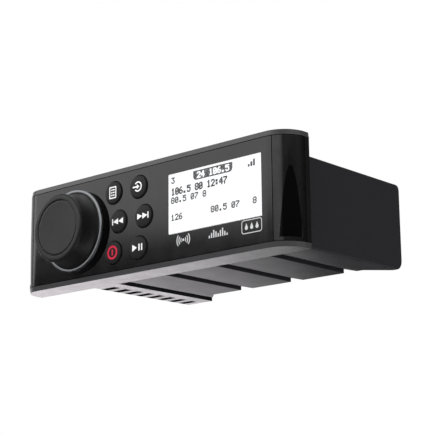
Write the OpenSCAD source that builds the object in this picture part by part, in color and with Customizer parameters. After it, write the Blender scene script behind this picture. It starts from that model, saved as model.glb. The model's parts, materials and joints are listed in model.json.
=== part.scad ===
// Compact marine stereo head unit that is screwed flush into a dash.
// Axes: +X to the right seen from the front, +Y rearward, +Z up. Sizes in millimetres.
// The origin is the centre of the four mounting screw holes, on the rear face of the fascia.

/* [Fascia] */
// Overall width of the fascia
fascia_w = 173.5; // [166:0.5:190]
// Overall height of the fascia
fascia_h = 52; // [51.5:0.5:60]
// Depth of the fascia, from its rear face to the front panel
fascia_d = 15; // [15:0.25:20]
// Plan radius of the two front corners
corner_r = 12.75; // [11:0.25:13.5]
// Height of the lip strips along the top and bottom edges
lip_h = 2.35; // [2:0.05:2.6]
// How far the outer edge of a lip leans back
lip_lean = 0.4; // [0.2:0.1:2]
// Wall thickness of the bezel moulding
bezel_wall = 2; // [1.6:0.1:2.4]
// Thickness of the front panel
panel_t = 2.1; // [2:0.05:2.6]
// Width of the fine seams round the panel and the end covers
seam_gap = 0.3; // [0.2:0.05:0.5]
// Thickness of the backplate that closes the fascia
backplate_t = 3; // [2.5:0.1:3.5]

/* [End covers] */
// Width of an end cover, from the end of the fascia to its seam
cover_w = 9.5; // [8.75:0.25:10]
// Shell thickness of an end cover
cover_wall = 1.6; // [1.2:0.1:2]
// Thickness of the mounting ears behind the end covers
ear_t = 3; // [2.6:0.1:3.5]
// Radius of the finger scoop
scoop_r = 10; // [8:0.5:12]
// Depth of the finger scoop at its foot
scoop_depth = 2.6; // [1.5:0.1:3]
// Direction of the finger scoop, in degrees from the side towards the front
scoop_dir = 38; // [30:1:45]
// Height of the scoop's tip above the middle of the fascia
scoop_top = 9.6; // [5:0.2:14]
// Height of the scoop's foot above the bottom lip
scoop_foot = 1.85; // [1:0.05:4]
// Thickness of the snap leg inside an end cover
leg_t = 1.2; // [1:0.1:1.6]
// Length of the snap leg inside an end cover
leg_len = 28; // [20:1:30]
// Width of the chamber behind an end cover
chamber_w = 8.4; // [8:0.1:8.8]

/* [Mounting] */
// Radius of the mounting screw holes
mount_hole_r = 2.1; // [1.7:0.05:2.3]
// Radius of the countersinks for the mounting screws
mount_head_r = 3.4; // [3:0.1:3.5]
// Straight depth of the mounting holes behind their countersinks
mount_land = 1.5; // [1:0.1:2]
// Distance from the end of the fascia to the mounting holes
mount_edge = 4.8; // [4.4:0.1:5]
// Height of the mounting holes above and below the middle
mount_rise = 20; // [16:0.5:20]
// Thickness of the mounting gasket
gasket_t = 1; // [0.8:0.1:2]
// Distance from the edge of the fascia to the edge of the gasket
gasket_edge = 1; // [0.5:0.1:1.4]
// Room between the gasket and the chassis
gasket_room = 0.6; // [0.4:0.1:0.9]

/* [Display] */
// Width of the visible display
display_w = 55.2; // [48:0.2:56]
// Height of the visible display
display_h = 28.15; // [24:0.05:30]
// Distance from the right end of the fascia to the display
display_right = 15; // [15:0.25:17]
// Height of the display's middle above the middle of the fascia
display_rise = 2.73; // [0:0.01:3]
// Thickness of the panel skin round the lens
lens_skin = 0.8; // [0.6:0.05:1]
// Thickness of the lens flange behind the panel skin
lens_flange_t = 0.8; // [0.6:0.05:0.9]
// Width of the lens flange
lens_flange_w = 1.1; // [0.8:0.05:1.2]
// Thickness of the LCD glass
lcd_t = 1.75; // [1.5:0.05:1.9]
// Wall thickness of the LCD holder
holder_wall = 0.9; // [0.8:0.05:1]
// Thickness of the LCD holder's back
holder_back_t = 1.2; // [1:0.1:1.5]

/* [Buttons] */
// Radius of a button
button_r = 5.45; // [4.8:0.05:5.6]
// Radial gap round a button
button_gap = 0.35; // [0.3:0.05:0.5]
// Travel of a button
button_travel = 0.8; // [0.4:0.05:0.9]
// Height of a button's crown above the panel
button_crown = 0.9; // [0.6:0.05:1.2]
// How far the edge of a button's face lies below its crown
button_dome = 0.25; // [0.1:0.05:0.4]
// Size of the bevel round a button's face
button_edge = 0.4; // [0.2:0.05:0.6]
// Distance from the display to the middle of the buttons
buttons_gap = 27.25; // [26.5:0.05:29]
// Height between two rows of buttons
button_row = 14.6; // [14.2:0.1:15]
// Distance between the two columns of buttons
button_col = 16.7; // [15.5:0.1:17.2]
// How far the middle row is set to the right
row_shift = 3.4; // [2:0.1:4]
// How far a button's flange stands out behind the bezel
flange_w = 1.35; // [1:0.05:1.5]
// Thickness of a button's flange
flange_t = 1.1; // [0.9:0.05:1.2]
// Thickness of the silicone keypad mat
mat_t = 0.7; // [0.5:0.05:0.8]
// Width of a switch under a button
switch_w = 6; // [5:0.1:7]
// Height of a switch under a button
switch_h = 1.4; // [1.2:0.05:1.5]

/* [Volume knob] */
// Distance from the middle of the buttons to the knob's axis
knob_gap = 31.55; // [31.3:0.05:34]
// Distance of the knob's axis below the middle of the fascia
knob_drop = 1.2; // [0:0.1:1.6]
// Outer radius of the knob's bright ring
ring_r = 20.3; // [18:0.1:20.6]
// Width of the bright ring
ring_w = 1.4; // [1.2:0.05:2]
// Thickness of the bright ring
ring_t = 1.3; // [1:0.05:1.6]
// Height of the ring's face above the panel
ring_h = 5.3; // [4.5:0.1:6]
// Gap between the knob's skirt and the panel
knob_lift = 1.2; // [1:0.05:1.6]
// Radius of the knob's neck
neck_r = 16.6; // [16:0.1:17]
// Length of the straight grip behind the knob's face
grip_len = 2.2; // [1.5:0.1:4]
// Height of the knob's face above the panel
knob_h = 15.4; // [14.6:0.1:18]
// Radius of the cap in the knob's face
cap_r = 13.5; // [12.5:0.1:14]
// Thickness of the cap
cap_t = 1.2; // [1:0.1:1.6]
// How far the cap lies below the knob's rim
cap_recess = 0.2; // [0.1:0.05:0.4]
// Wall thickness inside the knob
knob_wall = 2; // [1.6:0.1:2.4]
// Travel of the knob when it is pushed
push_travel = 0.6; // [0.3:0.05:0.7]
// Radius of the encoder shaft
shaft_r = 3; // [2.5:0.05:3.2]
// Radial running clearance of the shaft in its bush
shaft_clear = 0.05; // [0.03:0.01:0.1]
// Wall thickness of the encoder bush
bush_wall = 0.8; // [0.7:0.05:1]
// How far the encoder bush stands out of the front panel
bush_out = 2.2; // [1.8:0.1:2.2]
// Width of the encoder housing
encoder_w = 14; // [12:0.5:15]
// Thickness of the encoder nut
nut_t = 1.9; // [1.5:0.1:2]
// Wall thickness of the encoder nut at its corners
nut_wall = 1.8; // [1.5:0.1:2]
// Room round the nut in the front panel
nut_room = 0.6; // [0.4:0.1:1]
// Thickness of the shaft seal
seal_t = 1.2; // [1:0.1:1.3]
// Width of the shaft seal
seal_w = 1.3; // [1:0.1:1.6]
// Wall thickness of the boss that takes the shaft
boss_wall = 2.2; // [1.8:0.1:2.6]
// Clearance in front of the bush when the knob is pushed in
boss_room = 1.8; // [1.6:0.1:2]
// Thickness of the knob's face over the end of the shaft
face_t = 1.4; // [1:0.1:1.8]
// Bevel of the knob's rim
rim_round = 1.3; // [0.8:0.1:1.4]
// Thickness of the push plunger
plunger_t = 0.9; // [0.6:0.1:1]
// How far the push plunger is wider than the shaft
plunger_rim = 0.4; // [0.3:0.05:0.6]
// Axial gap between the shaft and the plunger
plunger_gap = 0.05; // [0.03:0.01:0.1]
// How far the shaft reaches into the encoder housing
shaft_in = 1.5; // [1:0.1:1.6]
// Room left behind the plunger when it is pushed in
push_room = 0.4; // [0.2:0.05:0.5]

/* [Chassis] */
// Width of the chassis with its heat sink
chassis_w = 139; // [137:0.2:142]
// Depth of the chassis behind the fascia
chassis_d = 82.2; // [80:0.2:100]
// Flange that the fascia leaves at the right of the chassis
side_flange = 8.5; // [8:0.1:9]
// Flange that the fascia leaves above the chassis
top_flange = 6.55; // [5:0.05:7]
// Flange that the fascia leaves below the chassis
bottom_flange = 3.1; // [2.8:0.05:3.4]
// Wall thickness of the chassis
chassis_wall = 2.2; // [1.8:0.1:2.6]
// Thickness of the chassis floor
floor_t = 4; // [3.6:0.1:4.5]
// Thickness of the top cover
roof_t = 2; // [1.6:0.1:2.4]
// Depth of the connector bay behind the rear panel
bay_d = 20.4; // [19:0.2:22]
// Thickness of the rear panel
rear_t = 2; // [1.6:0.1:2.4]
// Distance between the steps in the underside
step_pitch = 32.4; // [31.5:0.1:33]
// Distance from the right wall to the first step
step_first = 23.6; // [22:0.1:25]
// Height of a step
step_h = 2; // [1.5:0.1:2.4]
// Width of the slope beside a step
step_w = 7.6; // [5:0.1:9]
// Radius along the lower edge of a step
strip_r = 0.2; // [0.1:0.05:0.4]
// How far the floor reaches behind the rear panel
floor_out = 5.8; // [4:0.2:8]
// How far the floor's slant beside the heat sink ends before the chassis
strip_tip = 1; // [0.5:0.1:2]
// Slant of the floor's rear corner beside the right wall
bay_corner = 10.4; // [8:0.2:10.6]
// Radius along the long edges of the right wall
edge_r = 0.9; // [0.5:0.1:1.2]
// Radius of the right wall's upper rear corner
rear_top_r = 3; // [2:0.5:5]
// Radius of the right wall's lower rear corner
rear_low_r = 5; // [3:0.5:8]

/* [Heat sink] */
// How far the heat sink ends before the chassis
sink_short = 0.4; // [0:0.1:2]
// Number of slots between the fins
fin_slots = 8; // [4:1:8]
// Distance from one slot to the next
fin_pitch = 8.2; // [7.8:0.02:8.3]
// Width of a slot
fin_gap = 4.4; // [3.5:0.1:4.6]
// Distance from the fascia to the first slot
fin_first = 16; // [14:0.1:17]
// Depth of a slot
fin_depth = 10.6; // [9:0.1:11]
// Width of the rail that ties the fins together at the bottom
rail_w = 1; // [0.8:0.1:2]
// Height of that rail
rail_h = 2; // [1.5:0.1:3]
// Thickness of the bridge over the slots
fin_bridge = 4; // [3:0.5:6]
// Radius of the heat sink's lower left edge
sink_r = 0.8; // [0.4:0.1:2]
// Width of the ledge that lies on the chassis floor
ledge_w = 8.5; // [7:0.5:9]
// Thickness of the ledge
ledge_t = 2.6; // [2:0.1:2.8]

/* [Boards] */
// Thickness of the circuit boards
board_t = 1.6; // [1:0.1:2]
// Height of the main board above the chassis floor
board_lift = 4; // [3.6:0.1:5]
// Distance from the fascia to the main board
board_front = 4; // [3:0.5:5]
// Gap between the main board and the rear panel
board_rear = 2.3; // [1.5:0.1:3]
// Gap between the control board and the ends of the bezel's inside
control_side = 7.1; // [6.6:0.1:8]
// Height of the control board
control_h = 37.8; // [36:0.2:38]
// Radius of a screw post
post_r = 2.6; // [2.2:0.1:2.8]
// Distance from the edges of the main board to its screw posts
post_edge = 1.5; // [1:0.1:3]
// Radius of the posts that take the fascia screws
rim_post_r = 2; // [1.8:0.1:2.2]
// Gap between the rim posts and the bezel's lips
rim_room = 0.4; // [0.3:0.05:0.6]
// Gap between the rim posts and the ends of the bezel
rim_side = 1.4; // [1.2:0.1:2]
// Distance from the left end of the fascia to the outer control board posts
control_post_left = 21; // [20:0.5:22]
// Distance from the middle of the buttons to the inner control board posts
control_post_right = 22; // [21.5:0.1:22.2]
// Width of the ribbon cable
ribbon_w = 16; // [12:0.5:20]
// Room round the ribbon cable's plug in the backplate
ribbon_room = 1; // [0.6:0.1:1.5]
// Distance of the ribbon cable to the left of the display's middle
ribbon_shift = 6; // [0:0.5:8]
// Height of the ribbon cable above the main board
ribbon_rise = 11; // [9:0.5:12]
// How far the ribbon cable runs over the main board before it bends down
ribbon_run = 3.5; // [3:0.1:6]
// Thickness of the ribbon's connectors
plug_t = 3; // [2.4:0.1:3]
// Height of the ribbon's connector on the main board
plug_h = 4; // [3:0.1:5]
// Thickness of the ribbon cable
ribbon_t = 0.3; // [0.2:0.05:0.4]
// Bend radius of the ribbon cable
ribbon_r = 2.5; // [2:0.1:3]

/* [Components] */
// Length of the amplifier chip
chip_len = 26; // [20:1:28]
// Height of the amplifier chip
chip_h = 18; // [15:0.5:20]
// Thickness of the amplifier chip
chip_t = 4.6; // [4:0.1:5]
// Thickness of the thermal pad
pad_t = 0.5; // [0.3:0.1:0.8]
// Thickness of the chip clamp
clamp_t = 1.2; // [1:0.1:1.6]
// Length of the feet of the chip clamp
clamp_foot = 5; // [4.8:0.1:6]
// Height of the chip clamp
clamp_h = 8; // [6:0.1:9]
// Gap between the chip and the feet of its clamp
clamp_room = 1; // [0.5:0.1:2]
// Distance between the two capacitors
capacitor_space = 3; // [1:0.5:4]
// Distance between the board's parts, and from the board's edges to them
part_space = 6; // [4:0.5:8]
// Radius of a reservoir capacitor
capacitor_r = 6.5; // [5:0.1:7]
// Height of a reservoir capacitor
capacitor_h = 22; // [16:0.5:26]
// Width of the power inductor
inductor_w = 15; // [12:0.5:16]
// Height of the power inductor
inductor_h = 11; // [8:0.5:14]
// Width of a processor chip
logic_w = 12; // [8:0.5:13]
// Thickness of a processor chip
logic_t = 1.4; // [1:0.1:2]
// Width of the tuner module
tuner_w = 28; // [24:0.5:30]
// Depth of the tuner module
tuner_d = 22; // [18:0.5:24]
// Height of the tuner module
tuner_h = 9; // [6:0.5:12]

/* [Rear sockets] */
// Wall thickness of the sockets
socket_wall = 2; // [1.4:0.1:2.4]
// Gap between one socket and the next
socket_space = 4; // [3:0.5:4.5]
// Distance from the right wall to the power harness opening
harness_side = 11.3; // [10:0.1:12]
// How far the sockets stand out of the rear panel
socket_out = 7; // [5:0.5:8]
// How far the sockets reach in front of the rear panel
socket_in = 9; // [8:0.5:10]
// Depth of the socket openings
socket_depth = 14; // [12:0.5:15]
// Width of the power harness opening
harness_w = 22; // [18:0.5:24]
// Height of the power harness opening
harness_h = 10; // [8:0.5:11]
// Width of the line out opening
line_w = 12; // [9:0.5:13]
// Radius of the network socket's bore
network_r = 5.2; // [4.5:0.1:5.5]
// Radius of the aerial socket's bore
aerial_r = 4.6; // [4:0.1:5]
// Radius of the tuner port's bore
port_r = 4.2; // [3.8:0.1:4.5]

/* [Screws and fits] */
// Radius of the small screws
screw_r = 1.25; // [1:0.05:1.4]
// Radius of the small screws' heads
screw_head_r = 2.4; // [2:0.1:2.5]
// Height of the small screws' heads
screw_head_t = 1.2; // [1:0.1:1.4]
// Gap between pieces that are fixed to each other
fit_gap = 0.15; // [0.1:0.01:0.2]
// Radial gap between a screw and its hole
screw_gap = 0.05; // [0.03:0.01:0.1]
// Length of the small screws
screw_len = 7; // [6:0.5:8]
// Width of the lugs that take screws
lug = 6; // [5.5:0.1:6.5]
// Length of the lugs that take screws
lug_len = 8; // [7.5:0.1:9]
// Metal left under the tips of the heat sink screws
tip_cover = 0.6; // [0.4:0.1:0.8]

/* [Hidden] */
$fn = 64;
over = 1;

// Fascia stack, front to back
half_w = fascia_w / 2;
half_h = fascia_h / 2;
front_y = -fascia_d;
corner_x = half_w - corner_r;
corner_y = front_y + corner_r;
panel_half = half_h - lip_h;
skin_half = panel_half - seam_gap;
seam_x = half_w - cover_w;
wall_inset = panel_t + fit_gap;
wall_front = front_y + wall_inset;
wall_rear = wall_front + bezel_wall;
flange_y = wall_rear + fit_gap;
mat_y = flange_y + flange_t + button_travel + fit_gap / 3;
switch_y = mat_y + mat_t;
control_y = switch_y + switch_h;
control_rear = control_y + board_t;
chamber_x = half_w - chamber_w;
cavity_x = chamber_x - bezel_wall;
scoop_floor = -panel_half + scoop_foot;

// Display
display_x = half_w - display_right - display_w / 2;
lens_flange_y = front_y + lens_skin;
lcd_y = lens_flange_y + lens_flange_t + fit_gap / 3;
lcd_rear = lcd_y + lcd_t;
lcd_w = display_w + 2 * lens_flange_w;
lcd_h = display_h + 2 * lens_flange_w;
holder_back_y = control_y - holder_back_t;

// Buttons, in the order of their names
buttons_x = display_x - display_w / 2 - buttons_gap;
button_hole_r = button_r + button_gap;
function button_at(col, row) = [
    buttons_x + (col - 0.5) * button_col + (row == 0 ? row_shift : 0),
    row * button_row
];
button_places = [for (row = [1, 0, -1]) for (col = [0, 1]) button_at(col, row)];

// Knob and encoder
knob_x = buttons_x - knob_gap;
knob_z = -knob_drop;
bush_r = shaft_r + shaft_clear + bush_wall;
bush_front = front_y - bush_out;
nut_r = bush_r + nut_wall;
nut_room_r = nut_r + nut_room;
seal_r = bush_r + seal_w;
boss_h = bush_out + push_travel + boss_room / 2;
boss_r = shaft_r + boss_wall;
cap_floor = knob_h - cap_recess - cap_t;
shaft_reach = cap_floor - face_t;
hollow_top = shaft_reach - knob_wall;
hollow_r = neck_r - knob_wall;
skirt_r = ring_r - ring_w / 8;
plunger_r = shaft_r + plunger_rim;
shaft_end = wall_rear + shaft_in;
plunger_y = shaft_end + plunger_gap;
well_floor = plunger_y + plunger_t + push_travel + push_room;

// Chassis
chassis_r = half_w - side_flange;
chassis_l = chassis_r - chassis_w;
chassis_t = half_h - top_flange;
chassis_b = -half_h + bottom_flange;
wall_x = chassis_r - chassis_wall;
floor_z = chassis_b + floor_t;
roof_z = chassis_t - roof_t;
rear_y = chassis_d - bay_d;
rear_front = rear_y - rear_t;
floor_end = rear_y + floor_out;
bay_slant = bay_d - floor_out - strip_tip;
function step_x(k) = chassis_r - step_first - k * step_pitch;
last_step = 3;
tub_l = step_x(last_step);
sink_x = tub_l - fit_gap;

// Main board
board_z = floor_z + board_lift;
board_top = board_z + board_t;
board_l = sink_x + 2 * fit_gap;
board_r = wall_x - 2 * fit_gap;
board_end = rear_front - board_rear;
stand_left = board_l + ledge_w + post_r + post_edge;
stand_right = board_r - post_r - post_edge;
stand_front = board_front + post_r + post_edge;
stand_end = board_end - post_r - post_edge;
stand_root = (floor_t - step_h) / 2;
stands = [for (x = [stand_left, stand_right]) for (y = [stand_front, stand_end]) [x, y]];
chip_x = sink_x + pad_t;
clamp_x = chip_x + chip_t;
clamp_z = board_top + (chip_h - clamp_h) / 2;
capacitor_x = board_l + ledge_w + part_space + capacitor_r;
inductor_x = capacitor_x + capacitor_r + part_space;
logic_y = board_front + 2 * (post_edge + post_r) + part_space / 2;

// Rear sockets, set out from the right wall
socket_front = rear_front - socket_in;
socket_end = rear_y + socket_out;
chip_y = socket_front - 2 * clamp_room - clamp_foot - chip_len;
capacitor_pitch = 2 * capacitor_r + capacitor_space;
capacitor_y = socket_front - part_space - capacitor_r - capacitor_pitch;
socket_step = 2 * socket_wall + socket_space;
harness_x = wall_x - harness_side - harness_w / 2;
line_x = harness_x - harness_w / 2 - line_w / 2 - socket_step;
network_x = line_x - line_w / 2 - network_r - socket_step;
aerial_x = network_x - network_r - aerial_r - socket_step;
port_x = aerial_x - aerial_r - port_r - socket_step;
box_z = board_top + socket_wall;
round_z = board_top + network_r + 2 * socket_wall;

// Ribbon cable
ribbon_x = display_x - ribbon_shift;
ribbon_z = board_top + ribbon_rise;
ribbon_y = board_front + ribbon_run;
plug_w = ribbon_w + plug_t;
slot_half_w = plug_w / 2 + ribbon_room;
slot_half_h = plug_t / 2 + ribbon_room;
tuner_y = ribbon_y + ribbon_r + plug_t + part_space / 2;

// Screw places
control_half = cavity_x - control_side;
control_post_x = [-half_w + control_post_left, buttons_x + control_post_right];
control_posts = [for (x = control_post_x) for (z = [-1, 1]) [x, z * (control_h / 2 - post_r)]];
rim_z = panel_half - rim_post_r - rim_room;
rim_x = cavity_x - rim_post_r - rim_side;
fascia_posts = [[rim_x, rim_z], [buttons_x, rim_z], [-rim_x, rim_z], [-rim_x, -rim_z]];
tub_lugs = [roof_z - lug_len - lug / 2, board_top + lug];
sink_tap_x = (chassis_l + fin_depth + sink_x) / 2;
fin_slot_y = [for (k = [0 : fin_slots - 1]) fin_first + k * fin_pitch];
sink_taps = [floor_z + lug, roof_z - lug_len];
roof_taps = [2 * lug_len, rear_front - 2 * lug_len];
lug_x = wall_x - lug / 2;
lug_root = wall_x + chassis_wall / 2;
sink_lug_x = sink_x + lug / 2;
rear_taps = [[lug_x, tub_lugs[0]], [lug_x, tub_lugs[1]], [sink_lug_x, tub_lugs[0]]];
ledge_taps = [board_front + lug_len, (board_front + board_end) / 2, board_end - lug_len];
short_len = ledge_t + floor_t - step_h - tip_cover;

// Shared shapes

// Box between two corners
module block(x0, x1, y0, y1, z0, z1) {
    translate([x0, y0, z0])
        cube([x1 - x0, y1 - y0, z1 - z0]);
}

// Cylinder along Y at (x, z)
module rod(r, y0, y1, x, z) {
    translate([x, y1, z])
        rotate([90, 0, 0])
            cylinder(r = r, h = y1 - y0);
}

// Profile of (radius, y) points turned about an axis along Y at (x, z)
module turned(points, x, z) {
    translate([x, 0, z])
        rotate([-90, 0, 0])
            rotate_extrude()
                polygon(points);
}

// Profile of (y, z) points drawn out along X
module drawn_x(points, x0, x1) {
    translate([x0, 0, 0])
        rotate([90, 0, 90])
            linear_extrude(x1 - x0)
                polygon(points);
}

// Profile of (x, z) points drawn out along Y
module drawn_y(points, y0, y1) {
    translate([0, y1, 0])
        rotate([90, 0, 0])
            linear_extrude(y1 - y0)
                polygon(points);
}

// Points of an arc about (cx, cz)
function arc(cx, cz, r, from, to, steps = 6) = [
    for (i = [0 : steps])
        let (a = from + (to - from) * i / steps)
            [cx + r * cos(a), cz + r * sin(a)]
];

// Countersunk screw with its head at z = 0 and its tip below, widened all round by gap
module sunk_screw(len, gap = 0) {
    union() {
        translate([0, 0, -len])
            cylinder(r = screw_r + gap, h = len);
        translate([0, 0, -screw_head_t])
            cylinder(r1 = screw_r + gap, r2 = screw_head_r + gap, h = screw_head_t);
    }
}

// Pan head screw seated at z = 0
module pan_screw(len) {
    translate([0, 0, -len])
        cylinder(r = screw_r, h = len);
    cylinder(r = screw_head_r, h = screw_head_t);
}

// Turns a screw so that it is driven along +Y, -Y, -X
module drive_rear(x, y, z) translate([x, y, z]) rotate([90, 0, 0]) children();
module drive_front(x, y, z) translate([x, y, z]) rotate([-90, 0, 0]) children();
module drive_left(x, y, z) translate([x, y, z]) rotate([0, 90, 0]) children();

// Wraps a profile of (radius, z) round the front corners and straight back to the rear face
module wrap(hz) {
    union() {
        for (side = [0, 1])
            mirror([side, 0, 0])
                translate([corner_x, corner_y, 0])
                    rotate([0, 0, -90])
                        rotate_extrude(angle = 90)
                            children();
        translate([-corner_x, corner_y, 0])
            rotate([90, 0, 90])
                linear_extrude(2 * corner_x)
                    mirror([1, 0])
                        children();
        rotate([90, 0, 0])
            linear_extrude(-corner_y)
                union() {
                    for (side = [0, 1])
                        mirror([side, 0])
                            translate([corner_x, 0])
                                children();
                    square([2 * corner_x, 2 * hz], center = true);
                }
    }
}

// Outer form of the fascia with its leaning lips
module fascia_form() {
    wrap(half_h)
        polygon([
            [0, -half_h], [corner_r - lip_lean, -half_h], [corner_r, -panel_half],
            [corner_r, panel_half], [corner_r - lip_lean, half_h], [0, half_h]
        ]);
}

// Plain form that lies inset mm behind the front skin, hz high to each side of the middle
module skin_form(inset, hz) {
    wrap(hz)
        translate([0, -hz])
            square([corner_r - inset, 2 * hz]);
}

// Rectangle round the display, widened by room, from y0 to y1
module display_block(room, y0, y1) {
    block(display_x - display_w / 2 - room, display_x + display_w / 2 + room, y0, y1,
        display_rise - display_h / 2 - room, display_rise + display_h / 2 + room);
}

// Fascia

module mount_holes() {
    for (x = [-1, 1])
        for (z = [-1, 1])
            translate([x * (half_w - mount_edge), 0, z * mount_rise]) {
                rotate([90, 0, 0])
                    translate([0, 0, -over])
                        cylinder(r = mount_hole_r, h = ear_t + 2 * over);
                rotate([90, 0, 0])
                    translate([0, 0, mount_land])
                        cylinder(r1 = mount_hole_r, r2 = mount_head_r, h = ear_t - mount_land);
            }
}

module fascia_bezel() {
    color("#2c2d2f")
        difference() {
            union() {
                difference() {
                    fascia_form();
                    difference() {
                        block(-half_w - over, half_w + over, front_y - over, -ear_t, -panel_half, panel_half);
                        skin_form(wall_inset, half_h);
                    }
                    intersection() {
                        skin_form(wall_inset + bezel_wall, panel_half);
                        block(-cavity_x, cavity_x, front_y, over, -panel_half, panel_half);
                    }
                    block(-cavity_x, cavity_x, -backplate_t, over, -panel_half, panel_half);
                    for (side = [0, 1])
                        mirror([side, 0, 0])
                            block(chamber_x, half_w + over, front_y - over, -ear_t, -panel_half, panel_half);
                }
                for (p = control_posts)
                    rod(post_r, wall_rear - bezel_wall / 2, control_y, p[0], p[1]);
                for (p = fascia_posts)
                    rod(rim_post_r, wall_rear - bezel_wall / 2, -backplate_t, p[0], p[1]);
            }
            display_block(lens_flange_w + fit_gap, wall_front - over, wall_rear + over);
            for (p = button_places)
                rod(button_hole_r, wall_front - over, wall_rear + over, p[0], p[1]);
            rod(bush_r + screw_gap, wall_front - over, wall_rear + over, knob_x, knob_z);
            for (p = control_posts)
                rod(screw_r + screw_gap, wall_rear, control_y + over, p[0], p[1]);
            for (p = fascia_posts)
                rod(screw_r + screw_gap, wall_rear, over, p[0], p[1]);
            mount_holes();
        }
}

module front_panel() {
    color("#262729")
        difference() {
            intersection() {
                difference() {
                    skin_form(0, skin_half);
                    skin_form(panel_t, half_h);
                }
                block(-seam_x, seam_x, front_y - over, -ear_t, -half_h, half_h);
            }
            display_block(fit_gap, front_y - over, 0);
            display_block(lens_flange_w + fit_gap, lens_flange_y, 0);
            for (p = button_places)
                rod(button_hole_r, front_y - over, 0, p[0], p[1]);
            rod(nut_room_r, front_y - over, 0, knob_x, knob_z);
        }
}

// Scoop of radius r whose foot is cut flat at height foot
module scoop(r, foot) {
    translate([corner_x, corner_y, 0])
        rotate([0, 0, -scoop_dir])
            intersection() {
                translate([corner_r + scoop_r - scoop_depth, 0, scoop_floor])
                    rotate([0, atan(scoop_depth / (scoop_top - scoop_floor)), 0])
                        translate([0, 0, -half_h])
                            cylinder(r = r, h = 3 * half_h);
                block(0, corner_r + 3 * scoop_r, -2 * scoop_r, 2 * scoop_r, foot, half_h);
            }
}

module end_cover() {
    leg_x = chamber_x + seam_gap;
    color("#242527")
        difference() {
            intersection() {
                union() {
                    difference() {
                        skin_form(0, skin_half);
                        difference() {
                            skin_form(cover_wall, half_h);
                            scoop(scoop_r + cover_wall, scoop_floor - cover_wall);
                        }
                    }
                    intersection() {
                        skin_form(cover_wall / 2, half_h);
                        block(leg_x, leg_x + leg_t, front_y, 0, -leg_len / 2, leg_len / 2);
                    }
                }
                block(seam_x + seam_gap, half_w + over, front_y - over, -ear_t - seam_gap, -half_h, half_h);
            }
            scoop(scoop_r, scoop_floor);
        }
}

module right_screw_cover() {
    end_cover();
}

module left_screw_cover() {
    mirror([1, 0, 0])
        end_cover();
}

// Display

module display_lens() {
    color("#dfe6e8", 0.5)
        union() {
            display_block(0, front_y, lens_flange_y + lens_flange_t);
            display_block(lens_flange_w, lens_flange_y, lens_flange_y + lens_flange_t);
        }
}

module lcd_glass() {
    color("#eef1f0")
        display_block(lens_flange_w, lcd_y, lcd_rear);
}

module backlight_panel() {
    color("white")
        display_block(lens_flange_w, lcd_rear, holder_back_y);
}

module lcd_holder() {
    color("#1d1e20")
        difference() {
            display_block(lens_flange_w + fit_gap + holder_wall, wall_rear, control_y);
            display_block(lens_flange_w + fit_gap, wall_rear - over, holder_back_y);
        }
}

// Knob and encoder

// Point of the knob's profile at radius r, h above the panel
function knob_point(r, h) = [r, front_y - h];

// Concave flank from the neck out to the bright ring
function flank(steps = 10) = [
    for (i = [0 : steps])
        let (a = 90 * i / steps)
            knob_point(
                ring_r - ring_w - (ring_r - ring_w - neck_r) * cos(a),
                knob_h - grip_len - (knob_h - grip_len - ring_h) * sin(a)
            )
];

module volume_knob() {
    skirt_in = ring_r - ring_w - knob_wall / 4;
    color("#222325")
        turned(concat(
            [
                knob_point(0, cap_floor),
                knob_point(cap_r, cap_floor),
                knob_point(cap_r, knob_h),
                knob_point(neck_r - rim_round, knob_h),
                knob_point(neck_r, knob_h - rim_round)
            ],
            flank(),
            [
                knob_point(ring_r - ring_w, ring_h - ring_t),
                knob_point(skirt_r, ring_h - ring_t),
                knob_point(skirt_r, knob_lift),
                knob_point(skirt_in, knob_lift),
                knob_point(skirt_in, ring_h - ring_t - knob_wall / 3),
                knob_point(hollow_r, ring_h + knob_wall),
                knob_point(hollow_r, hollow_top),
                knob_point(boss_r, hollow_top),
                knob_point(boss_r, boss_h),
                knob_point(shaft_r, boss_h),
                knob_point(shaft_r, shaft_reach),
                knob_point(0, shaft_reach)
            ]
        ), knob_x, knob_z);
}

module knob_cap() {
    color("#2b2c2e")
        rod(cap_r - fit_gap, front_y - cap_floor - cap_t, front_y - cap_floor, knob_x, knob_z);
}

module knob_ring() {
    chamfer = ring_t / 3;
    color("silver")
        turned([
            knob_point(ring_r - ring_w, ring_h),
            knob_point(ring_r - chamfer, ring_h),
            knob_point(ring_r, ring_h - chamfer),
            knob_point(ring_r, ring_h - ring_t),
            knob_point(ring_r - ring_w, ring_h - ring_t)
        ], knob_x, knob_z);
}

module encoder_shaft() {
    color("gainsboro")
        rod(shaft_r, front_y - shaft_reach, shaft_end, knob_x, knob_z);
}

module encoder_bush() {
    color("goldenrod")
        difference() {
            rod(bush_r, bush_front, wall_rear, knob_x, knob_z);
            rod(shaft_r + shaft_clear, bush_front - over, wall_rear + over, knob_x, knob_z);
        }
}

module encoder_nut() {
    color("silver")
        difference() {
            translate([knob_x, wall_front, knob_z])
                rotate([90, 0, 0])
                    cylinder(r = nut_r, h = nut_t, $fn = 6);
            rod(bush_r + screw_gap, wall_front - nut_t - over, wall_front + over, knob_x, knob_z);
        }
}

module shaft_seal() {
    color("#111111")
        difference() {
            rod(seal_r, wall_front - nut_t - seal_t, wall_front - nut_t, knob_x, knob_z);
            rod(bush_r + screw_gap, bush_front - over, wall_front, knob_x, knob_z);
        }
}

module encoder_housing() {
    color("#3a3f3c")
        difference() {
            block(knob_x - encoder_w / 2, knob_x + encoder_w / 2, wall_rear, control_y,
                knob_z - encoder_w / 2, knob_z + encoder_w / 2);
            rod(plunger_r + 2 * shaft_clear, wall_rear - over, well_floor, knob_x, knob_z);
        }
}

module encoder_plunger() {
    color("#d8d2c2")
        rod(plunger_r, plunger_y, plunger_y + plunger_t, knob_x, knob_z);
}

// Buttons and control board

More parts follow.
